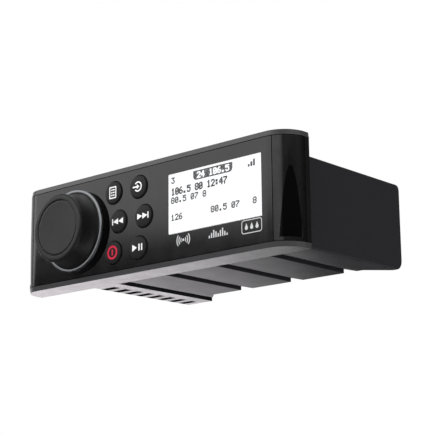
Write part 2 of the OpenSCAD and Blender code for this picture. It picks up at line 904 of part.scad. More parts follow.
module button(index) {
    place = button_places[index];
    face_y = front_y - button_crown;
    color("#1f2022")
        turned([
            [0, flange_y + flange_t],
            [button_r + flange_w, flange_y + flange_t],
            [button_r + flange_w, flange_y],
            [button_r, flange_y],
            [button_r, face_y + button_dome + button_edge],
            [button_r - button_edge, face_y + button_dome],
            [button_r * 0.6, face_y + button_dome * 0.3],
            [0, face_y]
        ], place[0], place[1]);
}

module keypad_mat() {
    reach = button_r + flange_w;
    color("#4a4d50")
        block(buttons_x - button_col / 2 - reach, buttons_x + button_col / 2 + row_shift + reach,
            mat_y, switch_y, -button_row - reach / 2, button_row + reach / 2);
}

module button_switches() {
    color("dimgray")
        for (p = button_places)
            block(p[0] - switch_w / 2, p[0] + switch_w / 2, switch_y, control_y,
                p[1] - switch_w / 2, p[1] + switch_w / 2);
}

module control_board() {
    color("darkgreen")
        difference() {
            block(-control_half, control_half, control_y, control_rear, -control_h / 2, control_h / 2);
            for (p = control_posts)
                rod(screw_r + 2 * screw_gap, control_y - over, control_rear + over, p[0], p[1]);
        }
}

module control_board_screws() {
    color("silver")
        for (p = control_posts)
            drive_front(p[0], control_rear, p[1])
                pan_screw(screw_len - board_t);
}

module fascia_backplate() {
    color("#303133")
        difference() {
            block(-cavity_x + fit_gap, cavity_x - fit_gap, -backplate_t, 0,
                -panel_half + fit_gap, panel_half - fit_gap);
            for (p = fascia_posts)
                drive_front(p[0], 0, p[1])
                    sunk_screw(screw_len, screw_gap);
            for (z = tub_lugs)
                drive_rear(lug_x, -backplate_t, z)
                    sunk_screw(screw_len, screw_gap);
            for (z = sink_taps)
                drive_rear(sink_tap_x, -backplate_t, z)
                    sunk_screw(screw_len, screw_gap);
            block(ribbon_x - slot_half_w, ribbon_x + slot_half_w, -backplate_t - over, over,
                ribbon_z - slot_half_h, ribbon_z + slot_half_h);
        }
}

module fascia_screws() {
    color("silver")
        for (p = fascia_posts)
            drive_front(p[0], 0, p[1])
                sunk_screw(screw_len);
}

module mounting_gasket() {
    color("#151515")
        difference() {
            block(-half_w + gasket_edge, half_w - gasket_edge, 0, gasket_t,
                -half_h + gasket_edge, half_h - gasket_edge);
            block(chassis_l - gasket_room, chassis_r + gasket_room, -over, gasket_t + over,
                chassis_b - gasket_room, chassis_t + gasket_room);
            for (x = [-1, 1])
                for (z = [-1, 1])
                    rod(mount_hole_r + fit_gap, -over, gasket_t + over,
                        x * (half_w - mount_edge), z * mount_rise);
        }
}

// Chassis

// Stepped underside from the last step on the left to the right wall
function underside() = [
    for (k = [last_step : -1 : 0])
        each concat(
            [[step_x(k), chassis_b + step_h], [step_x(k) + step_w, chassis_b]],
            k > 0
                ? arc(step_x(k - 1) - strip_r, chassis_b + strip_r, strip_r, -90, 0)
                : arc(chassis_r - edge_r, chassis_b + edge_r, edge_r, -90, 0)
        )
];

// Upper edge of the right wall
function wall_top() = concat(
    arc(chassis_r - edge_r, chassis_t - edge_r, edge_r, 0, 90),
    [[wall_x, chassis_t]]
);

// Cuts the connector bay out of the floor, with slanted corners
module bay_cut() {
    translate([0, 0, chassis_b - over])
        linear_extrude(floor_t + 2 * over)
            polygon([
                [tub_l - over, chassis_d + over],
                [tub_l - over, floor_end + bay_slant + over],
                [tub_l + bay_slant, floor_end],
                [wall_x - bay_corner, floor_end],
                [wall_x, floor_end + bay_corner],
                [wall_x, chassis_d + over]
            ]);
}

// Cuts the right wall's rear corners round
module rear_corner(z, r, up) {
    translate([0, chassis_d - r, z - up * r])
        difference() {
            block(wall_x - over, chassis_r + over, 0, r + over,
                min(0, up * (r + over)), max(0, up * (r + over)));
            translate([wall_x - 2 * over, 0, 0])
                rotate([0, 90, 0])
                    cylinder(r = r, h = chassis_wall + 4 * over);
        }
}

module chassis_tub() {
    color("#1e1f21")
        difference() {
            union() {
                drawn_y(concat(underside(), wall_top(), [[wall_x, floor_z], [tub_l, floor_z]]), 0, chassis_d);
                for (p = stands)
                    translate([p[0], p[1], floor_z - stand_root])
                        cylinder(r = post_r, h = board_lift + stand_root);
                for (y = roof_taps)
                    block(wall_x - lug, lug_root, y - lug / 2, y + lug / 2, roof_z - lug_len, roof_z);
                for (z = tub_lugs) {
                    block(wall_x - lug, lug_root, 0, lug_len, z - lug / 2, z + lug / 2);
                    block(wall_x - lug, lug_root, rear_front - lug_len, rear_front, z - lug / 2, z + lug / 2);
                }
            }
            bay_cut();
            rear_corner(chassis_t, rear_top_r, 1);
            rear_corner(chassis_b, rear_low_r, -1);
            for (p = stands)
                translate([p[0], p[1], floor_z])
                    cylinder(r = screw_r + screw_gap, h = board_lift + over);
            for (y = roof_taps)
                translate([lug_x, y, chassis_t])
                    sunk_screw(screw_len, screw_gap);
            for (z = tub_lugs) {
                drive_rear(lug_x, -backplate_t, z)
                    sunk_screw(screw_len, screw_gap);
                drive_front(lug_x, rear_y, z)
                    sunk_screw(screw_len, screw_gap);
            }
            for (y = ledge_taps)
                translate([sink_x + ledge_w / 2, y, floor_z + ledge_t])
                    sunk_screw(short_len, screw_gap);
        }
}

module top_cover() {
    color("#232426")
        difference() {
            block(chassis_l, wall_x - fit_gap, 0, chassis_d, roof_z, chassis_t);
            for (y = roof_taps) {
                translate([lug_x, y, chassis_t])
                    sunk_screw(screw_len, screw_gap);
                translate([sink_tap_x, y, chassis_t])
                    sunk_screw(screw_len, screw_gap);
            }
        }
}

module heat_sink() {
    color("#29292b")
        difference() {
            union() {
                drawn_y(concat(
                    arc(chassis_l + sink_r, chassis_b + sink_r, sink_r, 180, 270, 10),
                    arc(sink_x - strip_r, chassis_b + strip_r, strip_r, -90, 0),
                    [[sink_x, roof_z], [chassis_l, roof_z]]
                ), 0, chassis_d - sink_short);
                block(sink_x - over, sink_x + ledge_w, board_front, board_end, floor_z, floor_z + ledge_t);
                block(sink_x - over, sink_x + lug, rear_front - lug_len, rear_front,
                    tub_lugs[0] - lug / 2, tub_lugs[0] + lug / 2);
            }
            for (y = fin_slot_y) {
                block(chassis_l - over, chassis_l + fin_depth, y, y + fin_gap,
                    chassis_b + rail_h, roof_z - fin_bridge);
                block(chassis_l + rail_w, chassis_l + fin_depth, y, y + fin_gap,
                    chassis_b - over, roof_z - fin_bridge);
            }
            for (z = sink_taps)
                drive_rear(sink_tap_x, -backplate_t, z)
                    sunk_screw(screw_len, screw_gap);
            for (y = roof_taps)
                translate([sink_tap_x, y, chassis_t])
                    sunk_screw(screw_len, screw_gap);
            for (y = ledge_taps)
                translate([sink_x + ledge_w / 2, y, floor_z + ledge_t])
                    sunk_screw(short_len, screw_gap);
            for (y = clamp_taps())
                drive_left(clamp_x + clamp_t, y, clamp_z + clamp_h / 2)
                    translate([0, 0, -2 * screw_len])
                        cylinder(r = screw_r + screw_gap, h = 2 * screw_len);
            drive_front(sink_lug_x, rear_y, tub_lugs[0])
                sunk_screw(screw_len, screw_gap);
        }
}

module rear_panel() {
    color("#26272a")
        difference() {
            block(sink_x + fit_gap, wall_x - fit_gap, rear_front, rear_y, floor_z, roof_z);
            for (p = rear_taps)
                drive_front(p[0], rear_y, p[1])
                    sunk_screw(screw_len, screw_gap);
            box_socket_body(harness_x, harness_w, fit_gap);
            box_socket_body(line_x, line_w, fit_gap);
            round_socket_body(network_x, network_r, fit_gap);
            round_socket_body(aerial_x, aerial_r, fit_gap);
            round_socket_body(port_x, port_r, fit_gap);
        }
}

// Electronics

function clamp_taps() = [
    chip_y - clamp_room - clamp_foot / 2,
    chip_y + chip_len + clamp_room + clamp_foot / 2
];

module main_board() {
    color("darkgreen")
        difference() {
            block(board_l, board_r, board_front, board_end, board_z, board_top);
            for (p = stands)
                translate([p[0], p[1], board_z - over])
                    cylinder(r = screw_r + 2 * screw_gap, h = board_t + 2 * over);
        }
}

module amplifier_chip() {
    color("#17181a")
        block(chip_x, clamp_x, chip_y, chip_y + chip_len, board_top, board_top + chip_h);
}

module thermal_pad() {
    color("lightgray")
        block(sink_x, chip_x, chip_y, chip_y + chip_len, board_top, board_top + chip_h);
}

module chip_clamp() {
    taps = clamp_taps();
    color("silver")
        difference() {
            union() {
                block(clamp_x, clamp_x + clamp_t, taps[0] - clamp_foot / 2, taps[1] + clamp_foot / 2,
                    clamp_z, clamp_z + clamp_h);
                for (y = taps)
                    block(sink_x, clamp_x, y - clamp_foot / 2, y + clamp_foot / 2,
                        clamp_z, clamp_z + clamp_h);
            }
            for (y = taps)
                drive_left(clamp_x + clamp_t, y, clamp_z + clamp_h / 2)
                    translate([0, 0, -2 * screw_len])
                        cylinder(r = screw_r + screw_gap, h = 2 * screw_len + over);
        }
}

module clamp_screws() {
    color("silver")
        for (y = clamp_taps())
            drive_left(clamp_x + clamp_t, y, clamp_z + clamp_h / 2)
                pan_screw(2 * screw_len - over);
}

module reservoir_capacitors() {
    color("#1b2a4a")
        for (k = [0, 1])
            translate([capacitor_x, capacitor_y + k * capacitor_pitch, board_top])
                cylinder(r = capacitor_r, h = capacitor_h);
}

module power_inductor() {
    color("#3a3a3c")
        translate([inductor_x, board_front + part_space, board_top])
            cube([inductor_w, inductor_w, inductor_h]);
}

module tuner_module() {
    color("gainsboro")
        block(ribbon_x - tuner_w / 2, ribbon_x + tuner_w / 2, tuner_y, tuner_y + tuner_d,
            board_top, board_top + tuner_h);
}

module processor_chips() {
    color("#101113")
        for (k = [0, 1])
            translate([board_r - part_space - logic_w, logic_y + k * (logic_w + part_space / 2), board_top])
                cube([logic_w, logic_w, logic_t]);
}

module ribbon_cable() {
    half = ribbon_t / 2;
    bend_z = ribbon_z - ribbon_r;
    color("ivory")
        drawn_x(concat(
            [[control_rear + plug_t / 2, ribbon_z - half], [control_rear + plug_t / 2, ribbon_z + half]],
            arc(ribbon_y, bend_z, ribbon_r + half, 90, 0),
            [for (side = [half, -half]) [ribbon_y + ribbon_r + side, board_top + plug_h]],
            arc(ribbon_y, bend_z, ribbon_r - half, 0, 90)
        ), ribbon_x - ribbon_w / 2, ribbon_x + ribbon_w / 2);
}

module ribbon_connectors() {
    color("#e9e4d4")
        union() {
            block(ribbon_x - plug_w / 2, ribbon_x + plug_w / 2, control_rear, control_rear + plug_t / 2,
                ribbon_z - plug_t / 2, ribbon_z + plug_t / 2);
            block(ribbon_x - plug_w / 2, ribbon_x + plug_w / 2, ribbon_y + ribbon_r - plug_t / 2,
                ribbon_y + ribbon_r + plug_t / 2, board_top, board_top + plug_h);
        }
}

// Rear sockets

module box_socket_body(x, w, room) {
    block(x - w / 2 - socket_wall - room, x + w / 2 + socket_wall + room, socket_front, socket_end,
        box_z - socket_wall - room, box_z + harness_h + socket_wall + room);
}

module box_socket(x, w) {
    color("#1a1b1d")
        difference() {
            box_socket_body(x, w, 0);
            block(x - w / 2, x + w / 2, socket_end - socket_depth, socket_end + over,
                box_z, box_z + harness_h);
        }
}

module round_socket_body(x, r, room) {
    rod(r + socket_wall + room, socket_front, socket_end, x, round_z);
}

module round_socket(x, r, tint) {
    color(tint)
        difference() {
            round_socket_body(x, r, 0);
            rod(r, socket_end - socket_depth, socket_end + over, x, round_z);
        }
}

module harness_socket() {
    box_socket(harness_x, harness_w);
}

module line_out_socket() {
    box_socket(line_x, line_w);
}

module network_socket() {
    round_socket(network_x, network_r, "#1a1b1d");
}

module aerial_socket() {
    round_socket(aerial_x, aerial_r, "silver");
}

module tuner_port() {
    round_socket(port_x, port_r, "#1a1b1d");
}

// Fasteners

module chassis_screws() {
    color("silver") {
        for (z = tub_lugs)
            drive_rear(lug_x, -backplate_t, z)
                sunk_screw(screw_len);
        for (z = sink_taps)
            drive_rear(sink_tap_x, -backplate_t, z)
                sunk_screw(screw_len);
    }
}

module cover_screws() {
    color("silver")
        for (y = roof_taps)
            for (x = [lug_x, sink_tap_x])
                translate([x, y, chassis_t])
                    sunk_screw(screw_len);
}

module rear_panel_screws() {
    color("silver")
        for (p = rear_taps)
            drive_front(p[0], rear_y, p[1])
                sunk_screw(screw_len);
}

module board_screws() {
    color("silver")
        for (p = stands)
            translate([p[0], p[1], board_top])
                pan_screw(board_t + board_lift - over);
}

module heat_sink_screws() {
    color("silver")
        for (y = ledge_taps)
            translate([sink_x + ledge_w / 2, y, floor_z + ledge_t])
                sunk_screw(short_len);
}

fascia_bezel();
front_panel();
left_screw_cover();
right_screw_cover();
display_lens();
lcd_glass();
lcd_holder();
backlight_panel();
volume_knob();
knob_cap();
knob_ring();
encoder_shaft();
encoder_bush();
encoder_nut();
encoder_housing();
encoder_plunger();
shaft_seal();
button(0);  // menu_button
button(1);  // source_button
button(2);  // previous_button
button(3);  // next_button
button(4);  // power_button
button(5);  // play_pause_button
keypad_mat();
button_switches();
control_board();
control_board_screws();
fascia_backplate();
fascia_screws();
mounting_gasket();
chassis_tub();
top_cover();
heat_sink();
rear_panel();
main_board();
amplifier_chip();
thermal_pad();
chip_clamp();
clamp_screws();
reservoir_capacitors();
power_inductor();
tuner_module();
processor_chips();
ribbon_cable();
ribbon_connectors();
harness_socket();
line_out_socket();
network_socket();
aerial_socket();
tuner_port();
chassis_screws();
cover_screws();
rear_panel_screws();
board_screws();
heat_sink_screws();
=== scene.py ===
import json
import math

import bmesh
import bpy
from mathutils import Matrix, Vector


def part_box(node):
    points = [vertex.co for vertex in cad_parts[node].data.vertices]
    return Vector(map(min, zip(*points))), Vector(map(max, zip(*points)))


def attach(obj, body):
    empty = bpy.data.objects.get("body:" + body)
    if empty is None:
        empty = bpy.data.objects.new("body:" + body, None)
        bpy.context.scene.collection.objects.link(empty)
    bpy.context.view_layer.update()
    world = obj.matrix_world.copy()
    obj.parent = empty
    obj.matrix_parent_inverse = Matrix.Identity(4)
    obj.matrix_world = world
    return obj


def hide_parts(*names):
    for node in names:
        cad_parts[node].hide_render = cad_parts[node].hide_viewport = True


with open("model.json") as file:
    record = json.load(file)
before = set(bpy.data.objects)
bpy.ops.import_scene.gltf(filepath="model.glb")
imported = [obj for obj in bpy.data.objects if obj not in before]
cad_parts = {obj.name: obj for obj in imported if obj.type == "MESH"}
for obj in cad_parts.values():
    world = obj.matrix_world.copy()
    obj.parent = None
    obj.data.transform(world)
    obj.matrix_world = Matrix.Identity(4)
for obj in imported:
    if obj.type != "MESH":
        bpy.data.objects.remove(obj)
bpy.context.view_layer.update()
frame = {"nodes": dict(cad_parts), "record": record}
scene = bpy.context.scene
mm = 0.001
squareCorners = ((-1, -1), (1, -1), (1, 1), (-1, 1))
print("stage: frame loaded with", len(frame["nodes"]), "nodes")


def addObject(name, data):
    item = bpy.data.objects.new(name, data)
    scene.collection.objects.link(item)
    return item


# Nodes: an input gets a constant, or the output that feeds it; a node stands for its first output
def setInputs(tree, node, inputs):
    for name, value in inputs.items():
        if isinstance(value, bpy.types.Node):
            value = value.outputs[0]
        if isinstance(value, bpy.types.NodeSocket):
            tree.links.new(value, node.inputs[name])
        else:
            node.inputs[name].default_value = value


def addNode(tree, kind, inputs=None, **settings):
    node = tree.nodes.new(kind)
    for name, value in settings.items():
        setattr(node, name, value)
    setInputs(tree, node, inputs or {})
    return node


# Places that several pieces share, in millimetres, read from the solids
def spanOf(node):
    low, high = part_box(node)
    return low / mm, high / mm


def centreOf(node):
    low, high = spanOf(node)
    return ((low.x + high.x) / 2, (low.z + high.z) / 2)


def radiusOf(node):
    low, high = spanOf(node)
    return (high.x - low.x) / 2


lensFlange = 1.1  # how far the lens reaches behind the edge of its window
lensLow, lensHigh = spanOf("display_lens")
frontFace = spanOf("front_panel")[0].y
displayCentre = centreOf("display_lens")
displayHalf = ((lensHigh.x - lensLow.x) / 2 - lensFlange, (lensHigh.z - lensLow.z) / 2 - lensFlange)
knobAxis = centreOf("knob_ring")
buttonNames = ("menu", "source", "previous", "next", "power", "play_pause")
buttonPlaces = {name: centreOf(name + "_button") for name in buttonNames}


# Camera at the photograph's viewing angle
photoCamera = {
    "place": (0.42295, -0.4453, -0.1443),
    "azimuth": 41.19,
    "elevation": -13.389,
    "roll": -0.569,
    "lens": 110.0,
    "sensor": 36.0,
    "nearClip": 0.01,
}


def aimCamera(settings):
    data = bpy.data.cameras.new("photoCamera")
    data.lens = settings["lens"]
    data.sensor_width = settings["sensor"]
    data.clip_start = settings["nearClip"]
    camera = addObject("photoCamera", data)
    turns = ((settings["azimuth"], "Z"), (90 - settings["elevation"], "X"), (settings["roll"], "Z"))
    place = Matrix.Translation(settings["place"])
    for angle, axis in turns:
        place = place @ Matrix.Rotation(math.radians(angle), 4, axis)
    camera.matrix_world = place
    scene.camera = camera


aimCamera(photoCamera)


# Studio: pale floor, white surround, soft lamps; lengths in metres, a lamp's level is its face's radiance
studio = {"floorHeight": -0.21, "floorSize": 8.0, "floorColour": (0.82, 0.82, 0.83, 1), "cardRoughness": 0.9}
softboxes = {
    "keySoftbox": {
        "place": (-0.43, -1.12, 0.592), "aim": (0, 0, 0.592), "size": (3.3, 0.62), "level": 1.7,
    },
    "topSoftbox": {
        "place": (0.1, 0.1, 1.3), "aim": (0.1, 0.1, 0), "size": (1.8, 1.4), "level": 0.9,
    },
    "sideSoftbox": {
        "place": (1.25, -0.35, 0.72), "aim": (0, -0.35, 0.72), "size": (1.8, 0.66), "level": 0.45,
    },
}
# Lamps just over the floor behind the object, facing up
lowLamps = {
    "height": -0.2,
    "colour": (1.0, 0.92, 0.97),
    "lamps": {
        "lowLeft": {"place": (-1.12, 0.65), "size": (0.76, 0.7), "level": 2.4},
        "lowMiddle": {"place": (-0.7, 0.58), "size": (0.08, 0.56), "level": 1.7},
        "lowRight": {"place": (-0.605, 0.52), "size": (0.11, 0.44), "level": 1.2},
        "lowNear": {"place": (-0.52, 0.48), "size": (0.06, 0.34), "level": 1.2},
    },
}
# Dark cards just over the floor, which only reflections see
flags = {
    "height": -0.205,
    "colour": (0.05, 0.047, 0.05, 1),
    "outlines": {
        "flagBehind": [(-0.14, 0.31), (0.1, 0.31), (-2.55, 3.6), (-2.82, 3.6)],
        "flagInFront": [(-2.6, -2.8), (1.6, -2.8), (1.6, -0.1), (0.04, -0.1), (0.04, 0.3), (-2.6, 0.3)],
    },
}
# The camera sees a white surround; reflections see it behind and under the object, and a dim room in front
surround = {"towards": (-0.66, 0.72, -0.23), "dimFrom": 0.3, "whiteFrom": 0.8, "dim": 0.025, "fill": 0.6}


def addLamp(name, place, towards, settings, colour=(1, 1, 1)):
    data = bpy.data.lights.new(name, "AREA")
    data.shape = "RECTANGLE"
    data.size, data.size_y = settings["size"]
    data.energy = settings["level"] * math.pi * data.size * data.size_y
    data.color = colour
    lamp = addObject(name, data)
    turn = towards.to_track_quat("-Z", "Y").to_matrix()
    lamp.matrix_world = Matrix.Translation(place) @ turn.to_4x4()
    lamp.visible_camera = False


def whiteSurround(settings):
    world = bpy.data.worlds.new("whiteSurround")
    world.use_nodes = True
    tree = world.node_tree
    tree.nodes.clear()
    path = addNode(tree, "ShaderNodeLightPath")
    direction = addNode(tree, "ShaderNodeTexCoord")
    facing = addNode(tree, "ShaderNodeVectorMath", {
        0: direction.outputs["Generated"], 1: settings["towards"]}, operation="DOT_PRODUCT")
    mirrored = addNode(tree, "ShaderNodeMapRange", {
        "Value": facing.outputs["Value"], "From Min": settings["dimFrom"], "From Max": settings["whiteFrom"],
        "To Min": settings["dim"], "To Max": 1.0}, interpolation_type="SMOOTHSTEP")
    seen = addNode(tree, "ShaderNodeMath", {
        0: path.outputs["Is Camera Ray"], 1: path.outputs["Is Transmission Ray"]}, operation="MAXIMUM")
    glossy = addNode(tree, "ShaderNodeMix", {
        "Factor": path.outputs["Is Glossy Ray"], "A": settings["fill"], "B": mirrored})
    level = addNode(tree, "ShaderNodeMix", {"Factor": seen, "A": glossy, "B": 1.0})
    background = addNode(tree, "ShaderNodeBackground", {"Color": (1, 1, 1, 1), "Strength": level})
    addNode(tree, "ShaderNodeOutputWorld", {"Surface": background})
    scene.world = world


def layCard(name, outline, height, colour):
    mesh = bpy.data.meshes.new(name)
    corners = [(x, y, height) for x, y in outline]
    mesh.from_pydata(corners, [], [tuple(range(len(corners)))])
    card = addObject(name, mesh)
    material = bpy.data.materials.new(name)
    material.use_nodes = True
    setInputs(material.node_tree, material.node_tree.nodes["Principled BSDF"], {
        "Base Color": colour, "Roughness": studio["cardRoughness"], "Specular IOR Level": 0.0})
    mesh.materials.append(material)
    return card


whiteSurround(surround)
floorHalf = studio["floorSize"] / 2
floorOutline = [(floorHalf * u, floorHalf * v) for u, v in squareCorners]
layCard("studioFloor", floorOutline, studio["floorHeight"], studio["floorColour"])
for flagName, flagOutline in flags["outlines"].items():
    flag = layCard(flagName, flagOutline, flags["height"], flags["colour"])
    flag.visible_camera = False
    flag.visible_diffuse = False
    flag.visible_shadow = False
for lampName, softbox in softboxes.items():
    lampPlace = Vector(softbox["place"])
    addLamp(lampName, lampPlace, Vector(softbox["aim"]) - lampPlace, softbox)
for lampName, lowLamp in lowLamps["lamps"].items():
    lampPlace = Vector((*lowLamp["place"], lowLamps["height"]))
    addLamp(lampName, lampPlace, Vector((0, 0, 1)), lowLamp, lowLamps["colour"])
scene.view_settings.view_transform = "Standard"
print("stage: camera, floor and lamps set")


# Finishes: every material is worked out in the piece's own Object coordinates
def startMaterial(name):
    material = bpy.data.materials.new(name)
    material.use_nodes = True
    tree = material.node_tree
    coords = addNode(tree, "ShaderNodeTexCoord")
    return material, tree, tree.nodes["Principled BSDF"], coords.outputs["Object"]


def noiseOn(tree, coords, size, detail, stretch=(1, 1, 1)):
    mapping = addNode(tree, "ShaderNodeMapping", {"Vector": coords, "Scale": stretch})
    return addNode(tree, "ShaderNodeTexNoise", {
        "Vector": mapping, "Scale": 1.0 / (size * mm), "Detail": detail})


def rangeOf(tree, value, low, high, fromLow=0.3, fromHigh=0.7):
    return addNode(tree, "ShaderNodeMapRange", {
        "Value": value, "From Min": fromLow, "From Max": fromHigh, "To Min": low, "To Max": high})


def blendColours(tree, factor, first, second):
    mix = addNode(tree, "ShaderNodeMix", {0: factor, 6: (*first, 1), 7: (*second, 1)}, data_type="RGBA")
    return mix.outputs[2]


def toneOf(tree, pattern, colour, spread):
    dark = tuple(c * (1 - spread) for c in colour)
    light = tuple(c * (1 + spread) for c in colour)
    return blendColours(tree, pattern, dark, light)


def bumpOf(tree, height, strength, depth):
    return addNode(tree, "ShaderNodeBump", {"Height": height, "Strength": strength, "Distance": depth * mm})


# Each pattern is its size in millimetres and its detail; gloss is a range of roughness
plastic = {  # spark-eroded skin: fine grain, slow drift of tone and of gloss
    "spread": 0.12, "tone": (24.0, 2.0), "patches": (7.0, 4.0), "grain": (0.28, 2.0), "bump": 0.35,
    "relief": 0.02, "specular": 0.5, "sheen": 0.0,
}
rubber = {  # silicone and soft-touch coats: dull, with a dusty drift and a thin sheen
    "spread": 0.18, "tone": (3.2, 5.0), "patches": (9.0, 3.0), "grain": (0.18, 2.0), "bump": 0.3,
    "relief": 0.015, "specular": 0.35, "sheen": 0.04,
}
paint = {  # powder-coated metal: orange peel over fine specks
    "spread": 0.15, "tone": (0.5, 2.0), "patches": (12.0, 4.0), "grain": (0.9, 3.0), "bump": 0.4,
    "relief": 0.03, "specular": 0.5, "sheen": 0.0,
}


def coated(name, coat, colour, gloss, **changes):
    s = {**coat, **changes}
    material, tree, shader, coords = startMaterial(name)
    setInputs(tree, shader, {
        "Base Color": toneOf(tree, noiseOn(tree, coords, *s["tone"]), colour, s["spread"]),
        "Roughness": rangeOf(tree, noiseOn(tree, coords, *s["patches"]), *gloss),
        "Specular IOR Level": s["specular"],
        "Sheen Weight": s["sheen"],
        "Normal": bumpOf(tree, noiseOn(tree, coords, *s["grain"]), s["bump"], s["relief"]),
    })
    return material


metalMarks = {"spread": 0.12, "detail": 4.0, "bump": 0.25, "relief": 0.01}


def bareMetal(name, colour, gloss, stretch=(1, 1, 1), grain=0.6):
    # Turned, drawn or brushed metal: the stretch gives the direction of its marks
    s = metalMarks
    material, tree, shader, coords = startMaterial(name)
    marks = noiseOn(tree, coords, grain, s["detail"], stretch)
    setInputs(tree, shader, {
        "Base Color": toneOf(tree, marks, colour, s["spread"]),
        "Roughness": rangeOf(tree, marks, *gloss),
        "Metallic": 1.0,
        "Normal": bumpOf(tree, marks, s["bump"], s["relief"]),
    })
    return material


inkCover = {"spread": 0.06, "cover": (0.35, 3.0), "gloss": (0.45, 0.6)}


def printedInk(name, colour, glow=0.0):
    # Pad-printed ink: slightly uneven cover
    material, tree, shader, coords = startMaterial(name)
    cover = noiseOn(tree, coords, *inkCover["cover"])
    tone = toneOf(tree, cover, colour, inkCover["spread"])
    setInputs(tree, shader, {"Base Color": tone, "Roughness": rangeOf(tree, cover, *inkCover["gloss"])})
    # Painted light: the ink gives off light of its own colour, so it reads bright whatever lights it
    if glow:
        setInputs(tree, shader, {"Emission Color": tone, "Emission Strength": glow})
    return material


solderMask = {
    "spread": 0.3, "tracks": (2.4, 0.0), "stretch": (0.25, 1.0, 1.0), "trackEdge": (0.47, 0.53),
    "patches": (5.0, 3.0), "gloss": (0.25, 0.4), "bump": 0.3, "relief": 0.03,
}


def boardResin(name, colour):
    # Solder mask over copper tracks that run along the board
    s = solderMask
    material, tree, shader, coords = startMaterial(name)
    tracks = noiseOn(tree, coords, *s["tracks"], s["stretch"])
    setInputs(tree, shader, {
        "Base Color": toneOf(tree, rangeOf(tree, tracks, 0, 1, *s["trackEdge"]), colour, s["spread"]),
        "Roughness": rangeOf(tree, noiseOn(tree, coords, *s["patches"]), *s["gloss"]),
        "Normal": bumpOf(tree, tracks, s["bump"], s["relief"]),
    })
    return material


lcdText = {"dotPitch": 0.406, "dotSize": 0.64, "thickness": 0.012}
litLayer = {
    "gridShade": 0.97, "gridWidth": 0.05, "wash": (30.0, 1.0), "washShade": 0.985,
    "unlit": (0.05, 0.05, 0.05, 1), "roughness": 0.6,
}


def litPicture(name, tint, level):
    # White backlit layer with the faint grid of the unlit dots
    s = litLayer
    material, tree, shader, coords = startMaterial(name)
    upright = addNode(tree, "ShaderNodeMapping", {"Vector": coords, "Rotation": (math.radians(90), 0, 0)})
    grid = addNode(tree, "ShaderNodeTexBrick", {
        "Vector": upright,
        "Color1": (*tint, 1),
        "Color2": (*tint, 1),
        "Mortar": (*(s["gridShade"] * c for c in tint), 1),
        "Scale": 1.0 / (lcdText["dotPitch"] * mm),
        "Mortar Size": s["gridWidth"],
        "Brick Width": 1.0,
        "Row Height": 1.0,
    }, offset=0.0)
    washed = tuple(s["washShade"] * c for c in tint)
    wash = blendColours(tree, noiseOn(tree, coords, *s["wash"]), tint, washed)
    shade = addNode(tree, "ShaderNodeMix", {
        0: 1.0, 6: grid, 7: wash}, data_type="RGBA", blend_type="MULTIPLY")
    setInputs(tree, shader, {
        "Emission Color": shade.outputs[2],
        "Emission Strength": level,
        "Base Color": s["unlit"],
        "Roughness": s["roughness"],
    })
    return material


hardCoat = {"ior": 1.3, "smears": (6.0, 3.0), "gloss": (0.0, 0.03)}


def clearLens(name):
    # Clear hard-coated window with a trace of smears in its gloss
    material, tree, shader, coords = startMaterial(name)
    setInputs(tree, shader, {
        "Base Color": (1, 1, 1, 1),
        "Transmission Weight": 1.0,
        "IOR": hardCoat["ior"],
        "Roughness": rangeOf(tree, noiseOn(tree, coords, *hardCoat["smears"]), *hardCoat["gloss"]),
    })
    return material


# One finish for each material slot, with its colour and its range of roughness
finishes = {
    "fascia_plastic": coated("fasciaPlastic", plastic, (0.008, 0.0081, 0.0085), (0.22, 0.25)),
    "panel_plastic": coated("panelPlastic", plastic, (0.005, 0.005, 0.0052), (0.11, 0.15), relief=0.006),
    "cover_plastic": coated(
        "coverPlastic", plastic, (0.0022, 0.0022, 0.0023), (0.25, 0.32), specular=0.6, relief=0.008),
    "knob_rubber": coated("knobRubber", rubber, (0.011, 0.011, 0.0115), (0.3, 0.38), specular=0.38),
    "button_rubber": coated("buttonRubber", rubber, (0.01, 0.01, 0.0104), (0.3, 0.4), specular=0.22),
    "bright_ring": bareMetal("brightRing", (0.27, 0.28, 0.29), (0.26, 0.34), (1, 0.2, 1), 0.5),
    "lens_glass": clearLens("lensGlass"),
    "lcd_glass": litPicture("lcdPicture", (0.97, 0.975, 0.985), 1.06),
    "white_plastic": coated("whitePlastic", plastic, (0.72, 0.72, 0.7), (0.4, 0.5)),
    "inner_plastic": coated("innerPlastic", plastic, (0.016, 0.016, 0.017), (0.45, 0.55)),
    "steel": bareMetal("zincSteel", (0.6, 0.6, 0.58), (0.28, 0.4)),
    "brass": bareMetal("brass", (0.72, 0.52, 0.24), (0.25, 0.35)),
    "black_rubber": coated("gasketRubber", rubber, (0.008, 0.008, 0.008), (0.65, 0.8), specular=0.25),
    "circuit_board": boardResin("circuitBoard", (0.01, 0.07, 0.03)),
    "chassis_metal": coated("chassisPaint", paint, (0.027, 0.0255, 0.028), (0.28, 0.32), specular=0.06),
    "sink_metal": coated(
        "sinkPaint", paint, (0.009, 0.0089, 0.0095), (0.2, 0.27), grain=(0.7, 3.0), relief=0.015),
    "chip_plastic": coated("chipPlastic", plastic, (0.014, 0.014, 0.015), (0.5, 0.6)),
    "sleeve_plastic": coated("sleevePlastic", plastic, (0.015, 0.03, 0.11), (0.25, 0.35)),
    "thermal_pad": coated("thermalPad", rubber, (0.42, 0.43, 0.44), (0.7, 0.8)),
    "cable_film": coated("cableFilm", plastic, (0.7, 0.66, 0.52), (0.3, 0.4)),
}
# The white, grey and red inks glow a little: painted light
whiteInk = printedInk("whiteInk", (0.86, 0.86, 0.86), 0.3)
greyInk = printedInk("greyInk", (0.66, 0.66, 0.67), 0.12)
redInk = printedInk("redInk", (0.62, 0.012, 0.05), 0.25)
lcdBlack = printedInk("lcdBlack", (0.006, 0.006, 0.008))
slotOf = {part["node"]: part["material_slot"] for part in frame["record"]["subparts"]}
bodyOf = {node: body for body, nodes in frame["record"]["behaviour"]["bodies"].items() for node in nodes}
print("stage:", len(finishes), "finishes made")


